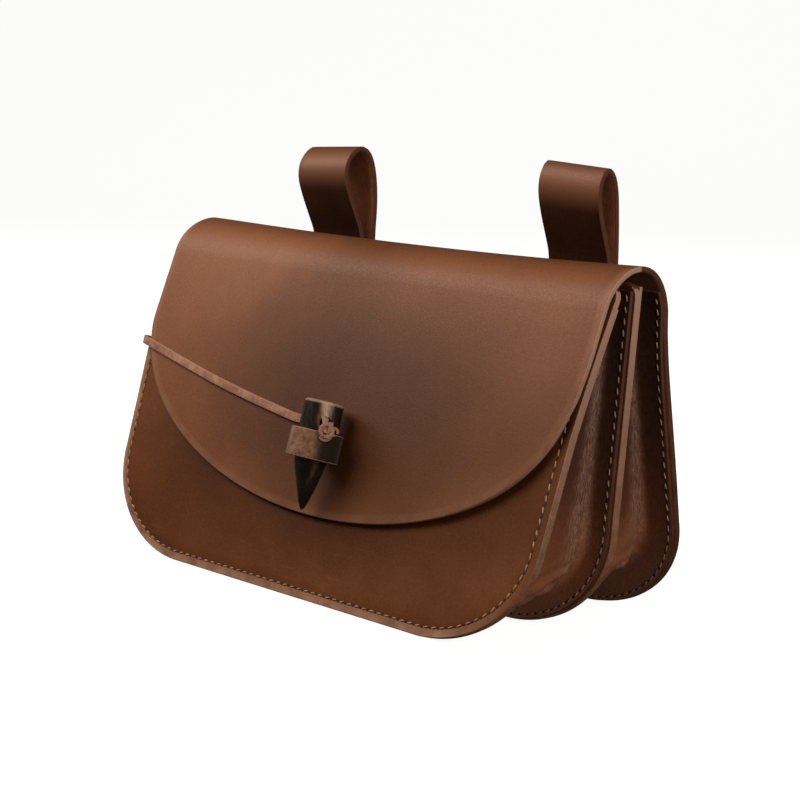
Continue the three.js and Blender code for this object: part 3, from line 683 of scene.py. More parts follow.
def thicken_and_crease(piece, depth, groove, round_back=True):
    """Extrudes the outline down by depth, rounds its rims and presses the stitch groove."""
    bpy.ops.mesh.select_all(action="SELECT")
    bpy.ops.mesh.extrude_region_move(TRANSFORM_OT_translate={"value": (0, 0, -depth * MM)})
    bpy.ops.mesh.select_all(action="SELECT")
    bpy.ops.mesh.normals_make_consistent(inside=False)
    lowest = -1e-6 if not round_back else -1.0
    pick("EDGE", lambda edge: abs(edge.verts[0].co.z - edge.verts[1].co.z) < 1e-6
         and edge.verts[0].co.z > lowest)
    bpy.ops.mesh.bevel(offset=0.5 * MM, segments=3, affect="EDGES")
    bpy.ops.mesh.select_all(action="SELECT")
    mark_selected(piece, 1.0)
    pick("FACE", lambda f: f.normal.z < -0.99 and len(f.verts) > 20)
    bpy.ops.mesh.inset(thickness=1.5 * MM)
    mark_selected(piece, 0.0)
    pick("FACE", lambda f: f.normal.z > 0.99 and len(f.verts) > 20)
    for inward, sink, value in ((2.3, 0, 0.6), (0.7, -groove, 0.3), (0.7, groove, 0.0)):
        bpy.ops.mesh.inset(thickness=inward * MM, depth=sink * MM)
        mark_selected(piece, value)


def slice_across(direction, places):
    """Cuts new rows of edges through the mesh in edit mode, at places along a direction."""
    for place_mm in places:
        bpy.ops.mesh.select_all(action="SELECT")
        bpy.ops.mesh.bisect(plane_co=Vector(direction) * place_mm * MM, plane_no=direction)


def dress(piece, *materials):
    for material in materials:
        piece.data.materials.append(material)


def paint_faces(piece, index, test):
    """Gives the faces for which test says yes the material of that index."""
    count = 0
    for polygon in piece.data.polygons:
        if test(polygon):
            polygon.material_index = index
            count += 1
    return count


def finish_piece(piece, slot, *nodes):
    """Smooths a piece, hangs it on the pouch's one body and lets it stand for its CAD nodes."""
    clear_selection()
    piece.select_set(True)
    bpy.context.view_layer.objects.active = piece
    bpy.ops.object.shade_smooth_by_angle(angle=radians(38))
    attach(piece, "root")
    if nodes:
        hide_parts(*nodes)
    print(piece.name, "faces:", len(piece.data.polygons))

# %% [markdown]
# ## Front panel and divider
# Both are stiff flat panels with burnished rims. The front panel is cut to the full height, and
# the divider is a little shorter, so that it clears the arch above it. Their backs are the rough
# flesh side. The two flat faces stay flat: long slices let a gentle unevenness into them.

# %% Front panel and divider
TOP_HOLLOW = 2.5   # how far the top edges are cut hollow, to clear the ridge's sag


def unevenness(x, s, seed, amount=0.25):
    """How far a hand-cut panel stands off its plane, in millimetres."""
    place = Vector((x / 70, s / 60, seed))
    return amount * noise.noise(place) * 2


def flat_panel(name, height, leaf, seed):
    piece = cut_outline(name, height, side_half(height))
    thicken_and_crease(piece, LEATHER + GAP - 0.02, 0.25, round_back=False)
    slice_across((1, 0, 0), range(-112, 120, 8))
    slice_across((0, 1, 0), range(6, int(height) - 4, 8))
    bpy.ops.object.mode_set(mode="OBJECT")
    for vertex in piece.data.vertices:
        x, s = vertex.co.x / MM, vertex.co.y / MM
        vertex.co.z += unevenness(x, s, seed, 0.15) * MM
        hollow = TOP_HOLLOW * max(0, s - height + 12) / 12 * max(0, 1 - (x / TOP_HALF) ** 2)
        vertex.co.y -= hollow * MM
    dress(piece, panel_leather, cut_edge, dark_edge, flesh_side)
    paint_faces(piece, 1, lambda f: abs(f.normal.z) < 0.75)
    # The top rims, under the arch, take the dark edge: painted shade.
    paint_faces(piece, 2, lambda f: f.material_index == 1 and f.normal.y > 0.6)
    paint_faces(piece, 3, lambda f: f.normal.z < -0.75)
    for vertex, mark in zip(piece.data.vertices, piece.data.attributes["edge"].data):
        mark.value *= float(np.interp(vertex.co.x / MM, (85, 112), (1, 0.15)))   # less worn there
    carry_to_leaf(piece, leaf, LEAF[leaf][3])
    return piece


front_panel = flat_panel("front_panel_skin", PANEL_HEIGHT, "front", 1.0)
finish_piece(front_panel, "panel_leather", "front_panel")
divider = flat_panel("divider_skin", DIVIDER_HEIGHT, "divider", 2.0)
finish_piece(divider, "panel_leather", "divider_panel")

# %% [markdown]
# ## Back, arch and flap
# One long piece of leather is the back of the pouch, bends over the top and comes down as the
# flap. It is cut flat like the panels, with a round end. The bend could be a Curve modifier, but
# then the ridge could not sag in its middle, so each point is carried along the side profile:
# straight up the back, over a Bezier arch and down in front of the front panel.

# %% The side profile of the long piece
ARCH_BACK, ARCH_FRONT, RISE_BACK, RISE_FRONT = 118.0, 122.0, 23.0, 20.0
FLAP_GAP, FLAP_SHIFT, FLAP_HALF, RIDGE_SAG = 2.0, 2.0, 124.0, 2.0
ROUND_HEIGHT, ROUND_HALF, ROUND_DROP = 95.0, 122.0, 65.5
FLAP_FACE = FLAP_GAP + LEATHER
FLAP_CROWN, FLAP_SETTLE = 80.0, 1.2   # the flap stands out most here, and settles this much


def flap_out(s):
    """How far the flap's outer face stands off the front panel at height s."""
    return FLAP_FACE - FLAP_SETTLE * ((s - FLAP_CROWN) / 45) ** 2


arch_slope = -2 * FLAP_SETTLE * (ARCH_FRONT - FLAP_CROWN) / 45 ** 2
bezier = [on_leaf("back", 0, ARCH_BACK, -LEATHER),
          on_leaf("back", 0, ARCH_BACK + RISE_BACK, -LEATHER),
          on_leaf("front", 0, ARCH_FRONT + RISE_FRONT,
                  flap_out(ARCH_FRONT) + arch_slope * RISE_FRONT),
          on_leaf("front", 0, ARCH_FRONT, flap_out(ARCH_FRONT))]
profile = [(on_leaf("back", 0, PANEL_FOOT, -LEATHER), 0.0)]
for step in range(81):
    t = step / 80
    weights = ((1 - t) ** 3, 3 * t * (1 - t) ** 2, 3 * t * t * (1 - t), t ** 3)
    profile.append((sum((w * p for w, p in zip(weights, bezier)), Vector()), t))
for s in np.linspace(ARCH_FRONT, ROUND_HEIGHT - ROUND_DROP, 40)[1:]:
    profile.append((on_leaf("front", 0, s, flap_out(s)), 1.0))

profile_y = np.array([point.y for point, t in profile])
profile_z = np.array([point.z for point, t in profile])
profile_t = np.array([t for point, t in profile])
run = np.concatenate(([0], np.cumsum(np.hypot(np.diff(profile_y), np.diff(profile_z)))))
slope_y = np.gradient(profile_y, run)
slope_z = np.gradient(profile_z, run)
slope_length = np.hypot(slope_y, slope_z)
inward_y, inward_z = -slope_z / slope_length, slope_y / slope_length
arch_start = run[1] / MM + PANEL_FOOT
arch_end, pattern_length = run[81] / MM + PANEL_FOOT, run[-1] / MM + PANEL_FOOT
print("pattern length %.1f mm, arch from %.1f to %.1f" % (pattern_length, arch_start, arch_end))

# %% Cut, slice and bend the long piece
LEFT_TUCK, LEFT_DROOP, TUCK_AT_FLAP = 7.0, 0.5, 0.42
RIGHT_TUCK, RIGHT_CUT = 1.2, 3.2   # the flap's right edge stands back: from the arch, and lower
back_and_flap = cut_outline("back_and_flap_skin", pattern_length, ROUND_HALF, ROUND_DROP)
thicken_and_crease(back_and_flap, LEATHER, 0.0)
slice_across((1, 0, 0), list(range(-120, -96, 4)) + list(range(-96, 120, 8)))
slice_across((0, 1, 0), range(6, int(arch_start), 8))
slice_across((0, 1, 0), np.arange(arch_start, arch_end, 1.6))
slice_across((0, 1, 0), np.arange(arch_end, pattern_length - 2, 5))
bpy.ops.object.mode_set(mode="OBJECT")


def left_pull(t, past_arch):
    """How much of the left end's tuck a point takes, by its place on the arch or past it."""
    hump = sin(pi * t) ** 2
    if t < 0.5:
        return hump
    if t < 1:
        return TUCK_AT_FLAP + (1 - TUCK_AT_FLAP) * hump
    return TUCK_AT_FLAP * max(0, 1 - past_arch / 27)


def bend_over(piece):
    """Carries the flat pattern, outer face at z = 0, along the side profile."""
    for vertex in piece.data.vertices:
        x, depth = vertex.co.x, -vertex.co.z
        v = vertex.co.y - PANEL_FOOT * MM
        y = np.interp(v, run, profile_y) + depth * np.interp(v, run, inward_y)
        z = np.interp(v, run, profile_z) + depth * np.interp(v, run, inward_z)
        t = float(np.interp(v, run, profile_t))
        across = x / (FLAP_HALF * MM)
        x = x * (1 + 0.016 * sin(pi * min(max((vertex.co.y / MM - CORNER_HIGH) / 150, 0), 1)))
        left_end = max(0, -across) ** 8
        x += LEFT_TUCK * MM * left_end * left_pull(t, vertex.co.y / MM - arch_end)
        x += end_shift("back", x / MM, vertex.co.y / MM)[0] * MM
        right_end = max(0, across) ** 5
        tuck = RIGHT_TUCK * min(1, max(0, (t - 0.5) / 0.4))
        tuck += RIGHT_CUT * float(np.interp(vertex.co.y / MM - arch_end, (18, 38), (0, 1)))
        x -= tuck * MM * right_end
        hump = sin(pi * t) ** 2
        sag = RIDGE_SAG * max(0, 1 - across * across) + LEFT_DROOP * left_end
        vertex.co = (x + FLAP_SHIFT * MM * t, y, z - sag * hump * MM)


arch_middle = (arch_start + arch_end) / 2
dress(back_and_flap, flap_leather, cut_edge, flesh_side, dark_edge)
paint_faces(back_and_flap, 1, lambda f: abs(f.normal.z) < 0.75)
# The rims of the back half take the dark edge: painted shade.
paint_faces(back_and_flap, 3, lambda f: f.material_index == 1 and f.center.y < arch_middle * MM)
paint_faces(back_and_flap, 2, lambda f: f.normal.z < -0.75)
bend_over(back_and_flap)
finish_piece(back_and_flap, "flap_leather", "back_and_flap")

# %% [markdown]
# ## Gussets
# A gusset is one long strip of softer leather, sewn to the panel in front and to the panel behind,
# all round the U. Between its two flanges it folds inward, like a bellows. A strip that changes its
# section all the way round is hard to extrude, so a grid is added and each point is carried to its
# place. The fold has fine wrinkles, and the leather puckers where it turns the lower corners.

# %% The way round a panel
def u_path(top, inset, spacing):
    """Points round the U of a panel, inset from the edge, evenly spaced: x, s, inward x and s."""
    side = hypot(TOP_HALF - LOW_HALF, PANEL_HEIGHT - CORNER_HIGH)
    side_x, side_s = (PANEL_HEIGHT - CORNER_HIGH) / side, (TOP_HALF - LOW_HALF) / side
    corner = CORNER_HIGH - PANEL_FOOT
    left = [(-side_half(s), s, side_x, side_s) for s in np.linspace(top, CORNER_HIGH, 20)[:-1]]
    for angle in np.linspace(0, pi / 2, 60):
        in_x, in_s = corner * cos(angle), CORNER_WIDE * sin(angle)
        size = hypot(in_x, in_s)
        left.append((-(LOW_HALF - CORNER_WIDE + CORNER_WIDE * cos(angle)),
                     CORNER_HIGH - corner * sin(angle), in_x / size, in_s / size))
    left.append((-1.0, PANEL_FOOT, 0.0, 1.0))
    rows = np.array(left + [(-x, s, -in_x, in_s) for x, s, in_x, in_s in reversed(left)])
    rows[:, :2] += inset * rows[:, 2:]
    travel = np.concatenate(([0], np.cumsum(np.hypot(*np.diff(rows[:, :2], axis=0).T))))
    count = max(2, int(round(travel[-1] / spacing)) + 1)
    even = np.linspace(0, travel[-1], count)
    return np.column_stack([np.interp(even, travel, column) for column in rows.T])


print("stations round the front panel:", len(u_path(PANEL_HEIGHT, 0, 2.2)))

# %% A grid carried to its place
def write_attribute(piece, name, kind, values):
    """Stores a value for each vertex, which the materials can read."""
    layer = piece.data.attributes.new(name, kind, "POINT")
    field = "vector" if kind == "FLOAT_VECTOR" else "value"
    layer.data.foreach_set(field, np.array(values, np.float32).ravel())


def grid_piece(name, columns, rows, carry, band=None):
    """A grid whose points, given as shares across and along, are carried to their places."""
    clear_selection()
    bpy.ops.mesh.primitive_grid_add(x_subdivisions=columns, y_subdivisions=rows, size=1)
    piece = bpy.context.object
    piece.name = name
    shares = [(v.co.x + 0.5, v.co.y + 0.5) for v in piece.data.vertices]
    write_attribute(piece, "flow", "FLOAT_VECTOR", [(*share, 0) for share in shares])
    if band:
        write_attribute(piece, "band", "FLOAT", [band(*share) for share in shares])
    for vertex, share in zip(piece.data.vertices, shares):
        vertex.co = carry(*share)
    return piece


def give_thickness(piece, thickness, offset=0.0, round_edge=0.35):
    """Solidify, applied, then a bevel on the rims. The rim takes the second material."""
    thick = piece.modifiers.new("thickness", "SOLIDIFY")
    thick.thickness = thickness * MM
    thick.offset = offset
    thick.use_even_offset = False
    thick.material_offset_rim = 1
    bpy.ops.object.modifier_apply(modifier="thickness")
    bpy.ops.object.mode_set(mode="EDIT")
    pick("EDGE", lambda edge: len(edge.link_faces) == 2 and (
        (edge.link_faces[0].material_index == 1) != (edge.link_faces[1].material_index == 1)))
    bpy.ops.mesh.bevel(offset=round_edge * MM, segments=2, affect="EDGES", material=1)
    bpy.ops.object.mode_set(mode="OBJECT")


def smooth_path(points, rounds=3):
    """Rounds the corners of a short path by cutting them, and keeps its ends."""
    points = [np.array(point, float) for point in points]
    for _ in range(rounds):
        cut = [points[0]]
        for a, b in zip(points, points[1:]):
            cut += [0.75 * a + 0.25 * b, 0.25 * a + 0.75 * b]
        points = cut + [points[-1]]
    return np.array(points)


def along_path(points, share, axes=3):
    """The point at a share of the path's length, which its first columns, the axes, give."""
    steps = np.linalg.norm(np.diff(points[:, :axes], axis=0), axis=1)
    travel = np.concatenate(([0], np.cumsum(steps)))
    return np.array([np.interp(share * travel[-1], travel, column) for column in points.T])

# %% Gussets
FLANGE, FOLD_RADIUS, WEB_BULGE = 7.0, 3.4, 1.2
FRONT_INSET, REAR_INSET = 0.5, 0.8    # from the panel's edge to the edge of each flange


def gusset_section(width, fold_depth):
    """Front flange, web, fold and rear flange: way in from the edge, and way back."""
    radius = min(FOLD_RADIUS, width / 2 - GAP)
    fold = [(fold_depth - radius + radius * cos(angle), width - radius + radius * sin(angle))
            for angle in np.radians(np.linspace(-65, 90, 7))]
    web = ((FLANGE + fold[0][0]) / 2 - WEB_BULGE, fold[0][1] / 2)
    return smooth_path([(FRONT_INSET, 0), (FLANGE, 0), web, *fold, (REAR_INSET, width)])


def arch_lean(leaf, s):
    """How far the back piece has come forward off its plane at height s, above the arch's foot."""
    return 0.02 * max(0, s - ARCH_BACK) ** 2 if leaf == "back" else 0


def make_gusset(name, front, rear, top, fold_depth, seed, shaded_behind):
    front_n = -(LEATHER + GAP + GUSSET_LEATHER / 2)
    rear_n = GAP + GUSSET_LEATHER / 2

    def at(station, leaf, n, inward):
        x, s, in_x, in_s = station
        return on_leaf(leaf, LEAF[leaf][3] + x + inward * in_x, s + inward * in_s,
                       n + arch_lean(leaf, s))

    stations = u_path(top, 0, 1.6)
    widths = [(at(station, front, front_n, FLANGE) - at(station, rear, rear_n, FLANGE)).length / MM
              for station in stations]
    sections = [gusset_section(width, fold_depth) for width in widths]

    def carry(share, way):
        k = int(round(way * (len(stations) - 1)))
        inward, back = along_path(sections[k], share)
        turning = 4 * (stations[k][2] * stations[k][3]) ** 2
        in_web = sin(pi * min(max((share - 0.2) / 0.6, 0), 1))
        fold = np.exp(-((share - 0.62) / 0.12) ** 2)
        wrinkle = noise.noise(Vector((share * 14, way * 150, seed)))
        wrinkle += 0.6 * noise.noise(Vector((share * 30, way * 420, seed + 5)))
        pucker = noise.noise(Vector((share * 4, way * 62, seed + 9)))
        inward += 0.35 * fold * wrinkle + in_web * turning * 3.0 * pucker
        inward += in_web * 0.7 * noise.noise(Vector((share * 3, way * 9, seed + 2)))
        front_point = at(stations[k], front, front_n, inward)
        return front_point.lerp(at(stations[k], rear, rear_n, inward), back / widths[k])

    # Where the fold's painted highlight lies.
    def band(share, way):
        k = int(round(way * (len(stations) - 1)))
        back = along_path(sections[k], share)[1] / widths[k]
        return float(np.exp(-((back - 0.74) / 0.18) ** 2))

    piece = grid_piece(name, 46, len(stations) - 1, carry, band)
    dress(piece, gusset_leather, cut_edge, dark_edge)
    give_thickness(piece, GUSSET_LEATHER, round_edge=0.2)
    # Rims that lie further back take the dark edge: painted shade.
    paint_faces(piece, 2, lambda f: f.material_index == 1 and f.center.y > shaded_behind * MM)
    return piece


front_gusset = make_gusset("front_gusset_skin", "front", "divider", DIVIDER_HEIGHT - 3, 11.0, 3.0,
                           shaded_behind=0.5)
finish_piece(front_gusset, "gusset_leather", "front_gusset")
rear_gusset = make_gusset("rear_gusset_skin", "divider", "back", ARCH_BACK + 7.5, 14.5, 7.0,
                          shaded_behind=15.0)
finish_piece(rear_gusset, "gusset_leather", "rear_gusset")

# %% [markdown]
# ## Belt loops
# A belt loop is one strap: up the back panel, over in a round loop and down again over itself,
# with both ends sewn to the back. Its middle line is drawn once from the side, smoothed, and both
# loops are carried along it. They splay a little, each away from the middle.

# %% Belt loops
LOOP_LINE = [  # s up the back leaf, n forward of it, and the share of the loop's own openness
    (60, -3.3, 0), (95, -3.3, 0), (113, -4.6, 0), (130, -6.9, 0), (138.5, -5.2, 0),
    (147.5, -3.4, 0), (155, -2.7, 0), (160.5, -4.4, 0.15), (164.2, -8.2, 0.5),
    (164.6, -11.2, 0.8), (161.6, -13.9, 1), (156, -14.7, 1), (149.5, -14.4, 1),
    (140, -13.2, 0.8), (129, -11.0, 0.4), (111, -7.6, 0.1), (95, -5.6, 0), (60, -5.6, 0)]
LOOP_WIDTH, LOOP_PIVOT = 29.5, 95.0
loop_curve = smooth_path(LOOP_LINE, 3)


def on_strap(middle, rise, splay, across, up, n):
    """A point of a strap that is turned by its splay about where it is sewn on."""
    turn = radians(splay)
    x = middle + across * cos(turn) - up * sin(turn)
    return x, LOOP_PIVOT + rise + across * sin(turn) + up * cos(turn), n


def make_loop(name, middle, rise, splay, openness):
    def carry(share, way):
        s, n, part = along_path(loop_curve, way)
        across = (0.5 - share) * LOOP_WIDTH
        return on_leaf("back", *on_strap(middle, rise, splay, across, s - LOOP_PIVOT,
                                         n - openness * part))

    # Marks the top of the loop for its painted highlight.
    def top_highlight(share, way):
        s, n, _ = along_path(loop_curve, way)
        return float(np.interp(s, (150, 161), (0, 1)) * np.interp(n, (-12, -5), (0.2, 1)))

    piece = grid_piece(name, 8, 110, carry, top_highlight)
    dress(piece, strap_leather, dark_edge, strap_flesh)
    give_thickness(piece, LEATHER)
    heart_of_loop = on_leaf("back", middle, 152 + rise, -9)
    bend_foot = on_leaf("back", middle, 118, 0).z
    paint_faces(piece, 2, lambda f: f.material_index == 0 and f.center.z > bend_foot
                and Vector((0, *(heart_of_loop - f.center).yz)).dot(f.normal) > 0)
    finish_piece(piece, "strap_leather", name.replace("_skin", ""))
    return piece


LEFT_LOOP, RIGHT_LOOP = (-53.4, 0.0, 3.0), (76.5, 1.2, -3.0)   # middle, rise and splay
left_loop = make_loop("belt_loop_left_skin", *LEFT_LOOP, 3.5)
right_loop = make_loop("belt_loop_right_skin", *RIGHT_LOOP, -2.5)

# %% [markdown]
# ## Horn toggle
# The toggle is the tip of a cow horn, sawn square, drilled across for the lace and polished. It is
# built as a carver would see it: a disc for the sawn end, extruded and scaled ring by ring down to
# the tip, with a slight bend. The hole is a Boolean with a thin cylinder.

# %% Horn toggle
HORN_X, HORN_TOP, HORN_CLEAR, HOLE_S = 9.2, 72.5, 14.4, 64.8
HORN_SECTIONS = [  # down, radius, aside, back
    (0.7, 7.45, 0, 0), (10.8, 7.4, 0, 0), (18, 6.8, -0.3, 0.2), (24, 5.8, -0.9, 0.8),
    (31, 4.1, -1.8, 2.2), (37, 2.3, -2.9, 3.6), (40.4, 1.1, -3.7, 4.6), (41.4, 0.35, -4.0, 4.9)]
sections = smooth_path(HORN_SECTIONS, 2)
clear_selection()
bpy.ops.mesh.primitive_circle_add(vertices=40, radius=6.6 * MM, fill_type="NGON",
                                  location=(HORN_X * MM, HORN_TOP * MM, HORN_CLEAR * MM),
                                  rotation=(radians(-90), 0, 0))
horn_skin = bpy.context.object
horn_skin.name = "horn_toggle_skin"
bpy.ops.object.transform_apply(location=True, rotation=True, scale=True)
bpy.ops.object.mode_set(mode="EDIT")
bpy.ops.mesh.select_all(action="SELECT")
mark_selected(horn_skin, 0.3)
bpy.ops.mesh.select_mode(type="EDGE")
bpy.ops.mesh.select_all(action="SELECT")
last = np.array((0.0, 6.6, 0.0, 0.0))
for section in sections:
    down, radius, aside, back = section - last
    bpy.ops.mesh.extrude_edges_move(TRANSFORM_OT_translate={
        "value": (aside * MM, -down * MM, -back * MM)})
    grow = section[1] / last[1]
    centre = (HORN_X + section[2], HORN_TOP - section[0], HORN_CLEAR - section[3])
    bpy.ops.transform.resize(value=(grow, 1, grow), center_override=Vector(centre) * MM)
    # The rim of the sawn end is marked higher, for its painted highlight.
    mark_selected(horn_skin, 0.45 if section[0] < 1.0 else 0.0)
    last = section
bpy.ops.mesh.edge_face_add()
bpy.ops.mesh.select_all(action="SELECT")
bpy.ops.mesh.normals_make_consistent(inside=False)
bpy.ops.object.mode_set(mode="OBJECT")
for vertex in horn_skin.data.vertices:
    x, s, n = vertex.co / MM
    out = Vector((x - HORN_X, 0, n - HORN_CLEAR))
    ripple = noise.noise(Vector((x / 4, s / 22, n / 4)))
    vertex.co += out.normalized() * ripple * 0.35 * MM * min(1, out.length / 3)

clear_selection()
bpy.ops.mesh.primitive_cylinder_add(vertices=24, radius=2.2 * MM, depth=30 * MM,
                                    location=(HORN_X * MM, HOLE_S * MM, HORN_CLEAR * MM),
                                    rotation=(0, radians(90 - 25), 0))
drill = bpy.context.object
clear_selection()
horn_skin.select_set(True)
bpy.context.view_layer.objects.active = horn_skin
hole = horn_skin.modifiers.new("hole", "BOOLEAN")
hole.object = drill
hole.solver = "EXACT"
bpy.ops.object.modifier_apply(modifier="hole")
bpy.data.objects.remove(drill)

# %% The pale streak down the horn
def streak_at(place):
    """The horn's pale streak, down its outer side: strong at the sawn end, lost at the tip."""
    x, s, n = place / MM
    down = np.interp(s, (30, 50, 58, 72), (0.0, 0.12, 0.5, 1.0))
    turned = atan2(n - HORN_CLEAR, x - HORN_X) - radians(30 + (s - 66) * 0.8)
    return float(down * np.exp(-(turned / radians(13)) ** 2))


write_attribute(horn_skin, "streak", "FLOAT", [streak_at(v.co) for v in horn_skin.data.vertices])
horn_skin.data.materials.clear()
dress(horn_skin, horn)
carry_to_leaf(horn_skin, "front")
finish_piece(horn_skin, "horn", "horn_toggle")

# %% [markdown]
# ## Keeper
# The keeper is a short band round the horn. Its two legs go back together through slots in the
# flap and the front panel, and are sewn down behind. It is bent from a grid, like the belt loops.

# %% Keeper
KEEPER_LOW, KEEPER_HIGH, KEEPER_INNER = 50.3, 61.1, 7.9
KEEPER_LEG, KEEPER_TAB, KEEPER_OPENING = 1.25, 13.0, 160.0
ring = KEEPER_INNER + LEATHER / 2
behind = -(LEATHER + GAP + LEATHER / 2)
half_band = [(-KEEPER_TAB, behind), (-KEEPER_LEG, behind), (-KEEPER_LEG, FLAP_FACE + 3 * GAP)]
half_band += [(ring * sin(angle), HORN_CLEAR + ring * cos(angle))
              for angle in np.radians(np.linspace(-KEEPER_OPENING, 0, 24))[:-1]]
band = half_band + [(0, HORN_CLEAR + ring)] + [(-x, n) for x, n in reversed(half_band)]
band = smooth_path(band, 2)


def carry_keeper(share, way):
    x, n = along_path(band, way)
    s = KEEPER_LOW + (KEEPER_HIGH - KEEPER_LOW) * (1 - share)
    return on_leaf("front", HORN_X + x, s, n)


def shaded_right(share, way):
    """The keeper is darkened on its right: painted shade."""
    x, n = along_path(band, way)
    return float(np.interp(x / ring - 0.15 * (n - HORN_CLEAR) / ring, (0.62, 0.85), (0, 1)))


keeper = grid_piece("keeper_skin", 4, 160, carry_keeper, shaded_right)
dress(keeper, keeper_leather, cut_edge)
give_thickness(keeper, LEATHER)
finish_piece(keeper, "keeper_leather", "keeper_loop")

# %% [markdown]
# ## Lace
# The lace is a flat thong. It is knotted in the horn's hole, lies across the flap, turns round the
# left side and ends in a stop knot inside the back. Both ends are held, so it is not a free cord.
# It is a strip carried along a smooth route, with the way its flat side faces given at each stop.

# %% Lace
LACE_WIDTH, LACE_THICK, LACE_HEIGHT = 3.4, 1.5, 80.0
on_flap = FLAP_FACE + 0.15 + LACE_THICK / 2
beside = -(side_half(84) + GAP + LACE_THICK / 2)
beside_front = beside + LEAF["front"][3]
outside_back = -(LEATHER + GAP + LACE_THICK / 2)
hole_turn = radians(25)


def in_hole(distance):
    return HORN_X + distance * cos(hole_turn), HORN_CLEAR + distance * sin(hole_turn)


def stop(leaf, x, s, n, facing_x, facing_n, facing_s=0.0):
    """A stop on the route: its place, and the way the lace's flat side faces."""
    facing = on_leaf(leaf, facing_x, facing_s, facing_n) - on_leaf(leaf, 0, 0, 0)
    return [*on_leaf(leaf, x, s, n), *facing.normalized()]


def in_hole_stop(distance, s):
    x, n = in_hole(distance)
    return stop("front", x, s, n, -0.4, 0.9)


route = [
    in_hole_stop(8.2, HOLE_S), in_hole_stop(6, HOLE_S), in_hole_stop(0, HOLE_S),
    in_hole_stop(-7, HOLE_S),
    stop("front", -2.5, 64.5, 8.4, -0.5, 0.87),
    stop("front", -10, 64.6, on_flap + 0.6, -0.3, 0.95),
    stop("front", -18, 65.0, on_flap, 0, 1),
    stop("front", -64, 71.9, on_flap, 0, 1),
    stop("front", -108, 80.7, on_flap, 0, 1),
    stop("front", -117, 82.6, on_flap, 0, 1),
    stop("front", -121.6, 83.4, on_flap - 0.9, -0.6, 0.8),
    stop("front", beside_front, 84, 0.4, -1, 0.1),
    stop("front", beside_front, 84, -3, -1, 0),
    stop("back", beside, LACE_HEIGHT + 0.4, 3, -1, 0),
    stop("back", beside, LACE_HEIGHT, -2.4, -1, -0.1),
    stop("back", beside + 1, LACE_HEIGHT, outside_back - 0.3, -0.7, -0.7),
    stop("back", beside + 4, LACE_HEIGHT, outside_back - 0.3, 0, -1),
    stop("back", -99, LACE_HEIGHT, outside_back - 0.3, 0, -1),
    stop("back", -95.2, LACE_HEIGHT, outside_back, 0.4, -0.9),
    stop("back", -94, LACE_HEIGHT, -1.6, 1, -0.2),
    stop("back", -94, LACE_HEIGHT, 2.8, 1, 0)]


def smooth_route(stops, per_stretch=12):
    """A Catmull-Rom line through the stops."""
    rows = np.array(stops, float)
    padded = np.vstack([2 * rows[0] - rows[1], rows, 2 * rows[-1] - rows[-2]])
    made = []
    for a, b, c, d in zip(padded, padded[1:], padded[2:], padded[3:]):
        size = np.linalg.norm(c[:3] - b[:3])
        before, after = np.linalg.norm(b[:3] - a[:3]), np.linalg.norm(d[:3] - c[:3])
        slope_b = (c - a) / (before + size) * size
        slope_c = (d - b) / (size + after) * size
        for t in np.linspace(0, 1, per_stretch, endpoint=False):
            made.append((2 * t**3 - 3 * t**2 + 1) * b + (t**3 - 2 * t**2 + t) * slope_b
                        + (3 * t**2 - 2 * t**3) * c + (t**3 - t**2) * slope_c)
    return np.array(made + [rows[-1]])


def lace_strip(name, stops, width, thick, rows=300):
    line = smooth_route(stops)

    def carry(share, way):
        here = along_path(line, way)
        ahead = along_path(line, min(1, way + 0.002)) - along_path(line, max(0, way - 0.002))
        along = Vector(ahead[:3]).normalized()
        facing = Vector(here[3:])
        facing = (facing - along * facing.dot(along)).normalized()
        side = facing.cross(along)
        return Vector(here[:3]) + side * (share - 0.5) * width * MM

    piece = grid_piece(name, 3, rows, carry)
    dress(piece, lace_leather, cut_edge)
    give_thickness(piece, thick, round_edge=0.3)
    return piece


lace = lace_strip("lace_skin", route, LACE_WIDTH, LACE_THICK)
finish_piece(lace, "lace_leather", "thong")

# %% [markdown]
# The end of the lace is knotted where it leaves the horn: it turns twice round on itself, makes a
# small second loop and leaves a short end standing up. A tied knot is hard to follow with a single
# route, so each turn is a short strip of its own, and the strips are joined into one piece.

# %% The knot at the horn, and the stop knot behind
RING_TURN, KNOT_TURN = radians(36), radians(26)   # the way the turns face, and where they hang


def ring_stops(x, s, n, radius, start, end, drift=0.0, axis=RING_TURN):
    """Stops on a turn of lace round an axis that points out of the hole."""
    stops = []
    for angle in np.radians(np.linspace(start, end, 16)):
        slide = drift * (angle - radians(start)) / (2 * pi)
        aside, forward = -sin(axis) * cos(angle), cos(axis) * cos(angle)
        stops.append(stop("front", x + radius * aside + slide * cos(axis), s + radius * sin(angle),
                          n + radius * forward + slide * sin(axis), aside, forward, sin(angle)))
    return stops


def out_of_hole(distance):
    """The place across and forward at a distance from the horn's middle, towards the knot."""
    return HORN_X + distance * cos(KNOT_TURN), HORN_CLEAR + distance * sin(KNOT_TURN)


def knot_stop(distance, s, aside=0.0):
    """A stop of a strand that hangs from the hole down to the knot, facing outward."""
    x, n = out_of_hole(distance)
    return stop("front", x + aside * sin(KNOT_TURN), s, n - aside * cos(KNOT_TURN),
                cos(KNOT_TURN), sin(KNOT_TURN))


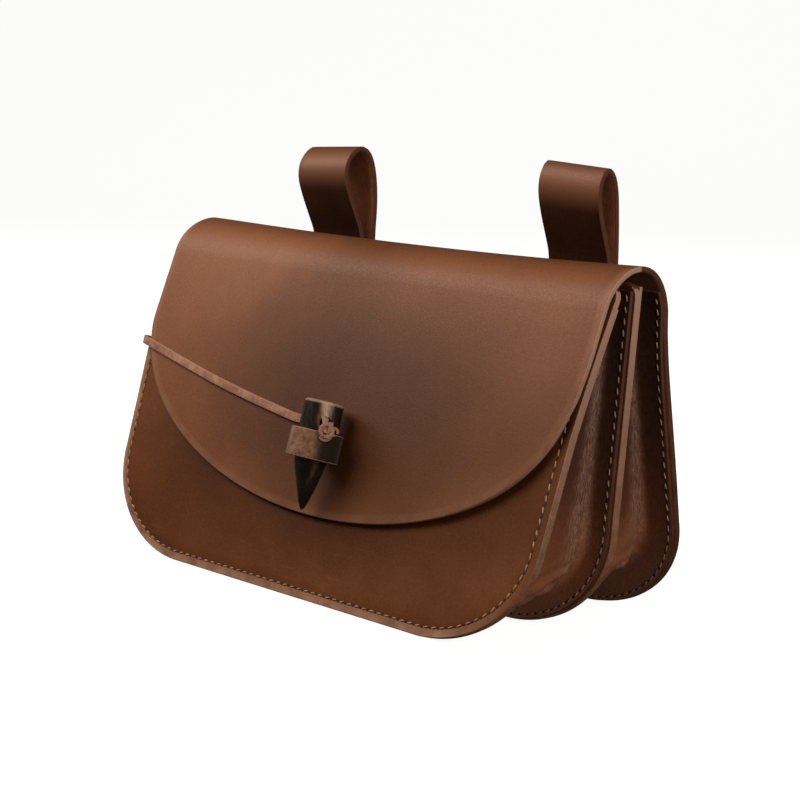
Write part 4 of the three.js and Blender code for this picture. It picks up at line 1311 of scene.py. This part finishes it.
KNOT_S, KNOT_OUT = 61.8, 11.3
knot_x, knot_n = out_of_hole(KNOT_OUT)
low_x, low_n = out_of_hole(KNOT_OUT - 0.4)
turns = [
    lace_strip("turn_behind", ring_stops(low_x, KNOT_S - 1.5, low_n, 2.1, 20, 330), 1.4, 1.2, 60),
    lace_strip("turn_before", ring_stops(knot_x, KNOT_S, knot_n, 2.3, -80, 285, 0.9), 1.5, 1.3, 70),
    lace_strip("small_turn", ring_stops(knot_x + 1.9, KNOT_S + 0.2, knot_n - 2.1, 1.3, -120, 200),
               1.4, 1.1, 40),
    lace_strip("strand_down", [
        knot_stop(6.4, 66.2, -0.8), knot_stop(8.3, 66.2, -0.8), knot_stop(9.3, 65.0, -0.7),
        knot_stop(10.6, 63.2, -0.4), knot_stop(KNOT_OUT, 60.8, 0)], 2.1, 1.1, 24),
    lace_strip("short_end", [
        knot_stop(KNOT_OUT, 60.0, 0.9), knot_stop(KNOT_OUT + 0.9, 62.2, 1.0),
        knot_stop(KNOT_OUT + 0.6, 65.2, 0.9)], 1.7, 1.0, 16)]
stop_knot = []
for height, radius in ((3.0, 2.0), (4.0, 1.6)):
    stops = [stop("back", -94 + radius * cos(angle), LACE_HEIGHT + radius * sin(angle), height,
                  cos(angle), 0.0, sin(angle)) for angle in np.linspace(0, 1.9 * pi, 14)]
    stop_knot.append(lace_strip("stop_turn", stops, 1.6, 1.2, 50))
clear_selection()
for turn in turns + stop_knot:
    turn.select_set(True)
bpy.context.view_layer.objects.active = turns[0]
bpy.ops.object.join()
knot = bpy.context.object
knot.name = "lace_knots_skin"
finish_piece(knot, "lace_leather")

# %% [markdown]
# ## Stitches
# Saddle stitches run round every panel, 4.1 mm apart: short lengths of thread that dive into
# pricked holes. One thread and one hole are modelled, with few faces, and copied along the way
# round. A texture could draw them, but real ones catch the light from the side.

# %% One stitch and one hole
clear_selection()
bpy.ops.mesh.primitive_uv_sphere_add(segments=8, ring_count=6, radius=0.5 * MM)
thread = bpy.context.object
thread.name = "thread_master"
bpy.ops.object.mode_set(mode="EDIT")
bpy.ops.mesh.select_all(action="SELECT")
bpy.ops.transform.rotate(value=pi / 2, orient_axis="Y", center_override=(0, 0, 0))
bpy.ops.transform.resize(value=(2.5, 0.6, 0.7), center_override=(0, 0, 0))
bpy.ops.object.mode_set(mode="OBJECT")

# The hole is a near-black shallow disc: painted shade where the thread goes into the leather.
clear_selection()
bpy.ops.mesh.primitive_circle_add(vertices=10, radius=0.5 * MM, fill_type="NGON")
pricked = bpy.context.object
pricked.name = "hole_master"
bpy.ops.object.mode_set(mode="EDIT")
bpy.ops.mesh.select_all(action="SELECT")
bpy.ops.mesh.inset(thickness=0.15 * MM, depth=0.04 * MM)
bpy.ops.mesh.select_all(action="SELECT")
bpy.ops.transform.resize(value=(1.25, 0.95, 1), center_override=(0, 0, 0))
bpy.ops.object.mode_set(mode="OBJECT")
print("thread faces:", len(thread.data.polygons), "hole faces:", len(pricked.data.polygons))

# %% Copy them along a way
STITCH, STITCH_INSET, SLANT = 4.1, 3.6, radians(12)


def sew(name, leaf, n, facing, way, material, slot):
    """A run of stitches along a way, on the side that faces forward (1) or backward (-1)."""
    threads, holes = [], []
    for k, (x, s, in_x, in_s) in enumerate(way):
        along = Vector((in_s, -in_x, 0)) if facing > 0 else Vector((-in_s, in_x, 0))
        up = Vector((0, 0, facing))
        frame_turn = Matrix((along, up.cross(along), up)).transposed().to_4x4()
        for master, bunch, lift in ((pricked, holes, 0.03), (thread, threads, 0.05)):
            if master is thread and k == len(way) - 1:
                continue
            near = way[k] if master is pricked else (way[k] + way[k + 1]) / 2
            if master is thread and hypot(*(way[k + 1] - way[k])[:2]) > 1.5 * STITCH:
                continue
            copy = master.copy()
            copy.data = master.data.copy()
            bpy.context.scene.collection.objects.link(copy)
            tilt = Matrix.Rotation(SLANT * (1 + 0.4 * sin(7.0 * k)), 4, "Z")
            out = n + facing * lift + (arch_lean(leaf, near[1]) if facing > 0 else 0)
            copy.matrix_world = Matrix.Translation(
                Vector((near[0], near[1], out)) * MM) @ frame_turn @ tilt
            bunch.append(copy)
    for bunch, finish, suffix in ((threads, material, "threads"), (holes, stitch_hole_shade, "holes")):
        clear_selection()
        for copy in bunch:
            copy.select_set(True)
        bpy.context.view_layer.objects.active = bunch[0]
        bpy.ops.object.transform_apply(location=True, rotation=True, scale=True)
        bpy.ops.object.join()
        piece = bpy.context.object
        piece.name = name + "_" + suffix
        piece.data.materials.clear()
        dress(piece, finish)
        carry_to_leaf(piece, leaf, LEAF[leaf][3])
        finish_piece(piece, slot)


# %% Round each panel, on the outside and on both sides of the flanges
front_way = u_path(PANEL_HEIGHT - 5, STITCH_INSET, STITCH)
divider_way = u_path(DIVIDER_HEIGHT - 3.5, 2.4, STITCH)
back_way = u_path(ARCH_BACK + 6, 2.4, STITCH)
flange_face = GAP + GUSSET_LEATHER
sew("front_stitch", "front", 0, 1, front_way, tan_thread, "panel_leather")
sew("front_inner_stitch", "front", -LEATHER - flange_face, -1, front_way, cream_thread,
    "gusset_leather")
sew("divider_stitch", "divider", flange_face, 1, divider_way, cream_thread, "gusset_leather")
sew("divider_inner_stitch", "divider", -LEATHER - flange_face, -1, divider_way, cream_thread,
    "gusset_leather")
sew("back_stitch", "back", flange_face, 1, back_way, cream_thread, "gusset_leather")
sew("back_outer_stitch", "back", -LEATHER, -1, u_path(ARCH_BACK - 1, STITCH_INSET, STITCH),
    tan_thread, "flap_leather")

# %% A box of stitches on each strap
STRAP_FACE = -6.6
for name, (middle, rise, splay) in (("left", LEFT_LOOP), ("right", RIGHT_LOOP)):
    turn = radians(splay)
    rows = []
    for in_x, in_s, reach, half in ((0, 1, -13.5, 10.5), (-1, 0, -10.5, 13.5),
                                    (0, -1, -13.5, 10.5), (1, 0, -10.5, 13.5)):
        for step in np.linspace(-half, half, int(2 * half / STITCH) + 1):
            across = reach * in_x + step * abs(in_s) * in_s
            up = reach * in_s - step * abs(in_x) * in_x
            x, s, _ = on_strap(middle, rise, splay, across, up - 18, 0)
            rows.append((x, s, in_x * cos(turn) - in_s * sin(turn),
                         in_x * sin(turn) + in_s * cos(turn)))
    sew("strap_stitch_" + name, "back", STRAP_FACE, -1, np.array(rows), tan_thread,
        "strap_leather")
for master in (thread, pricked):
    bpy.data.objects.remove(master)
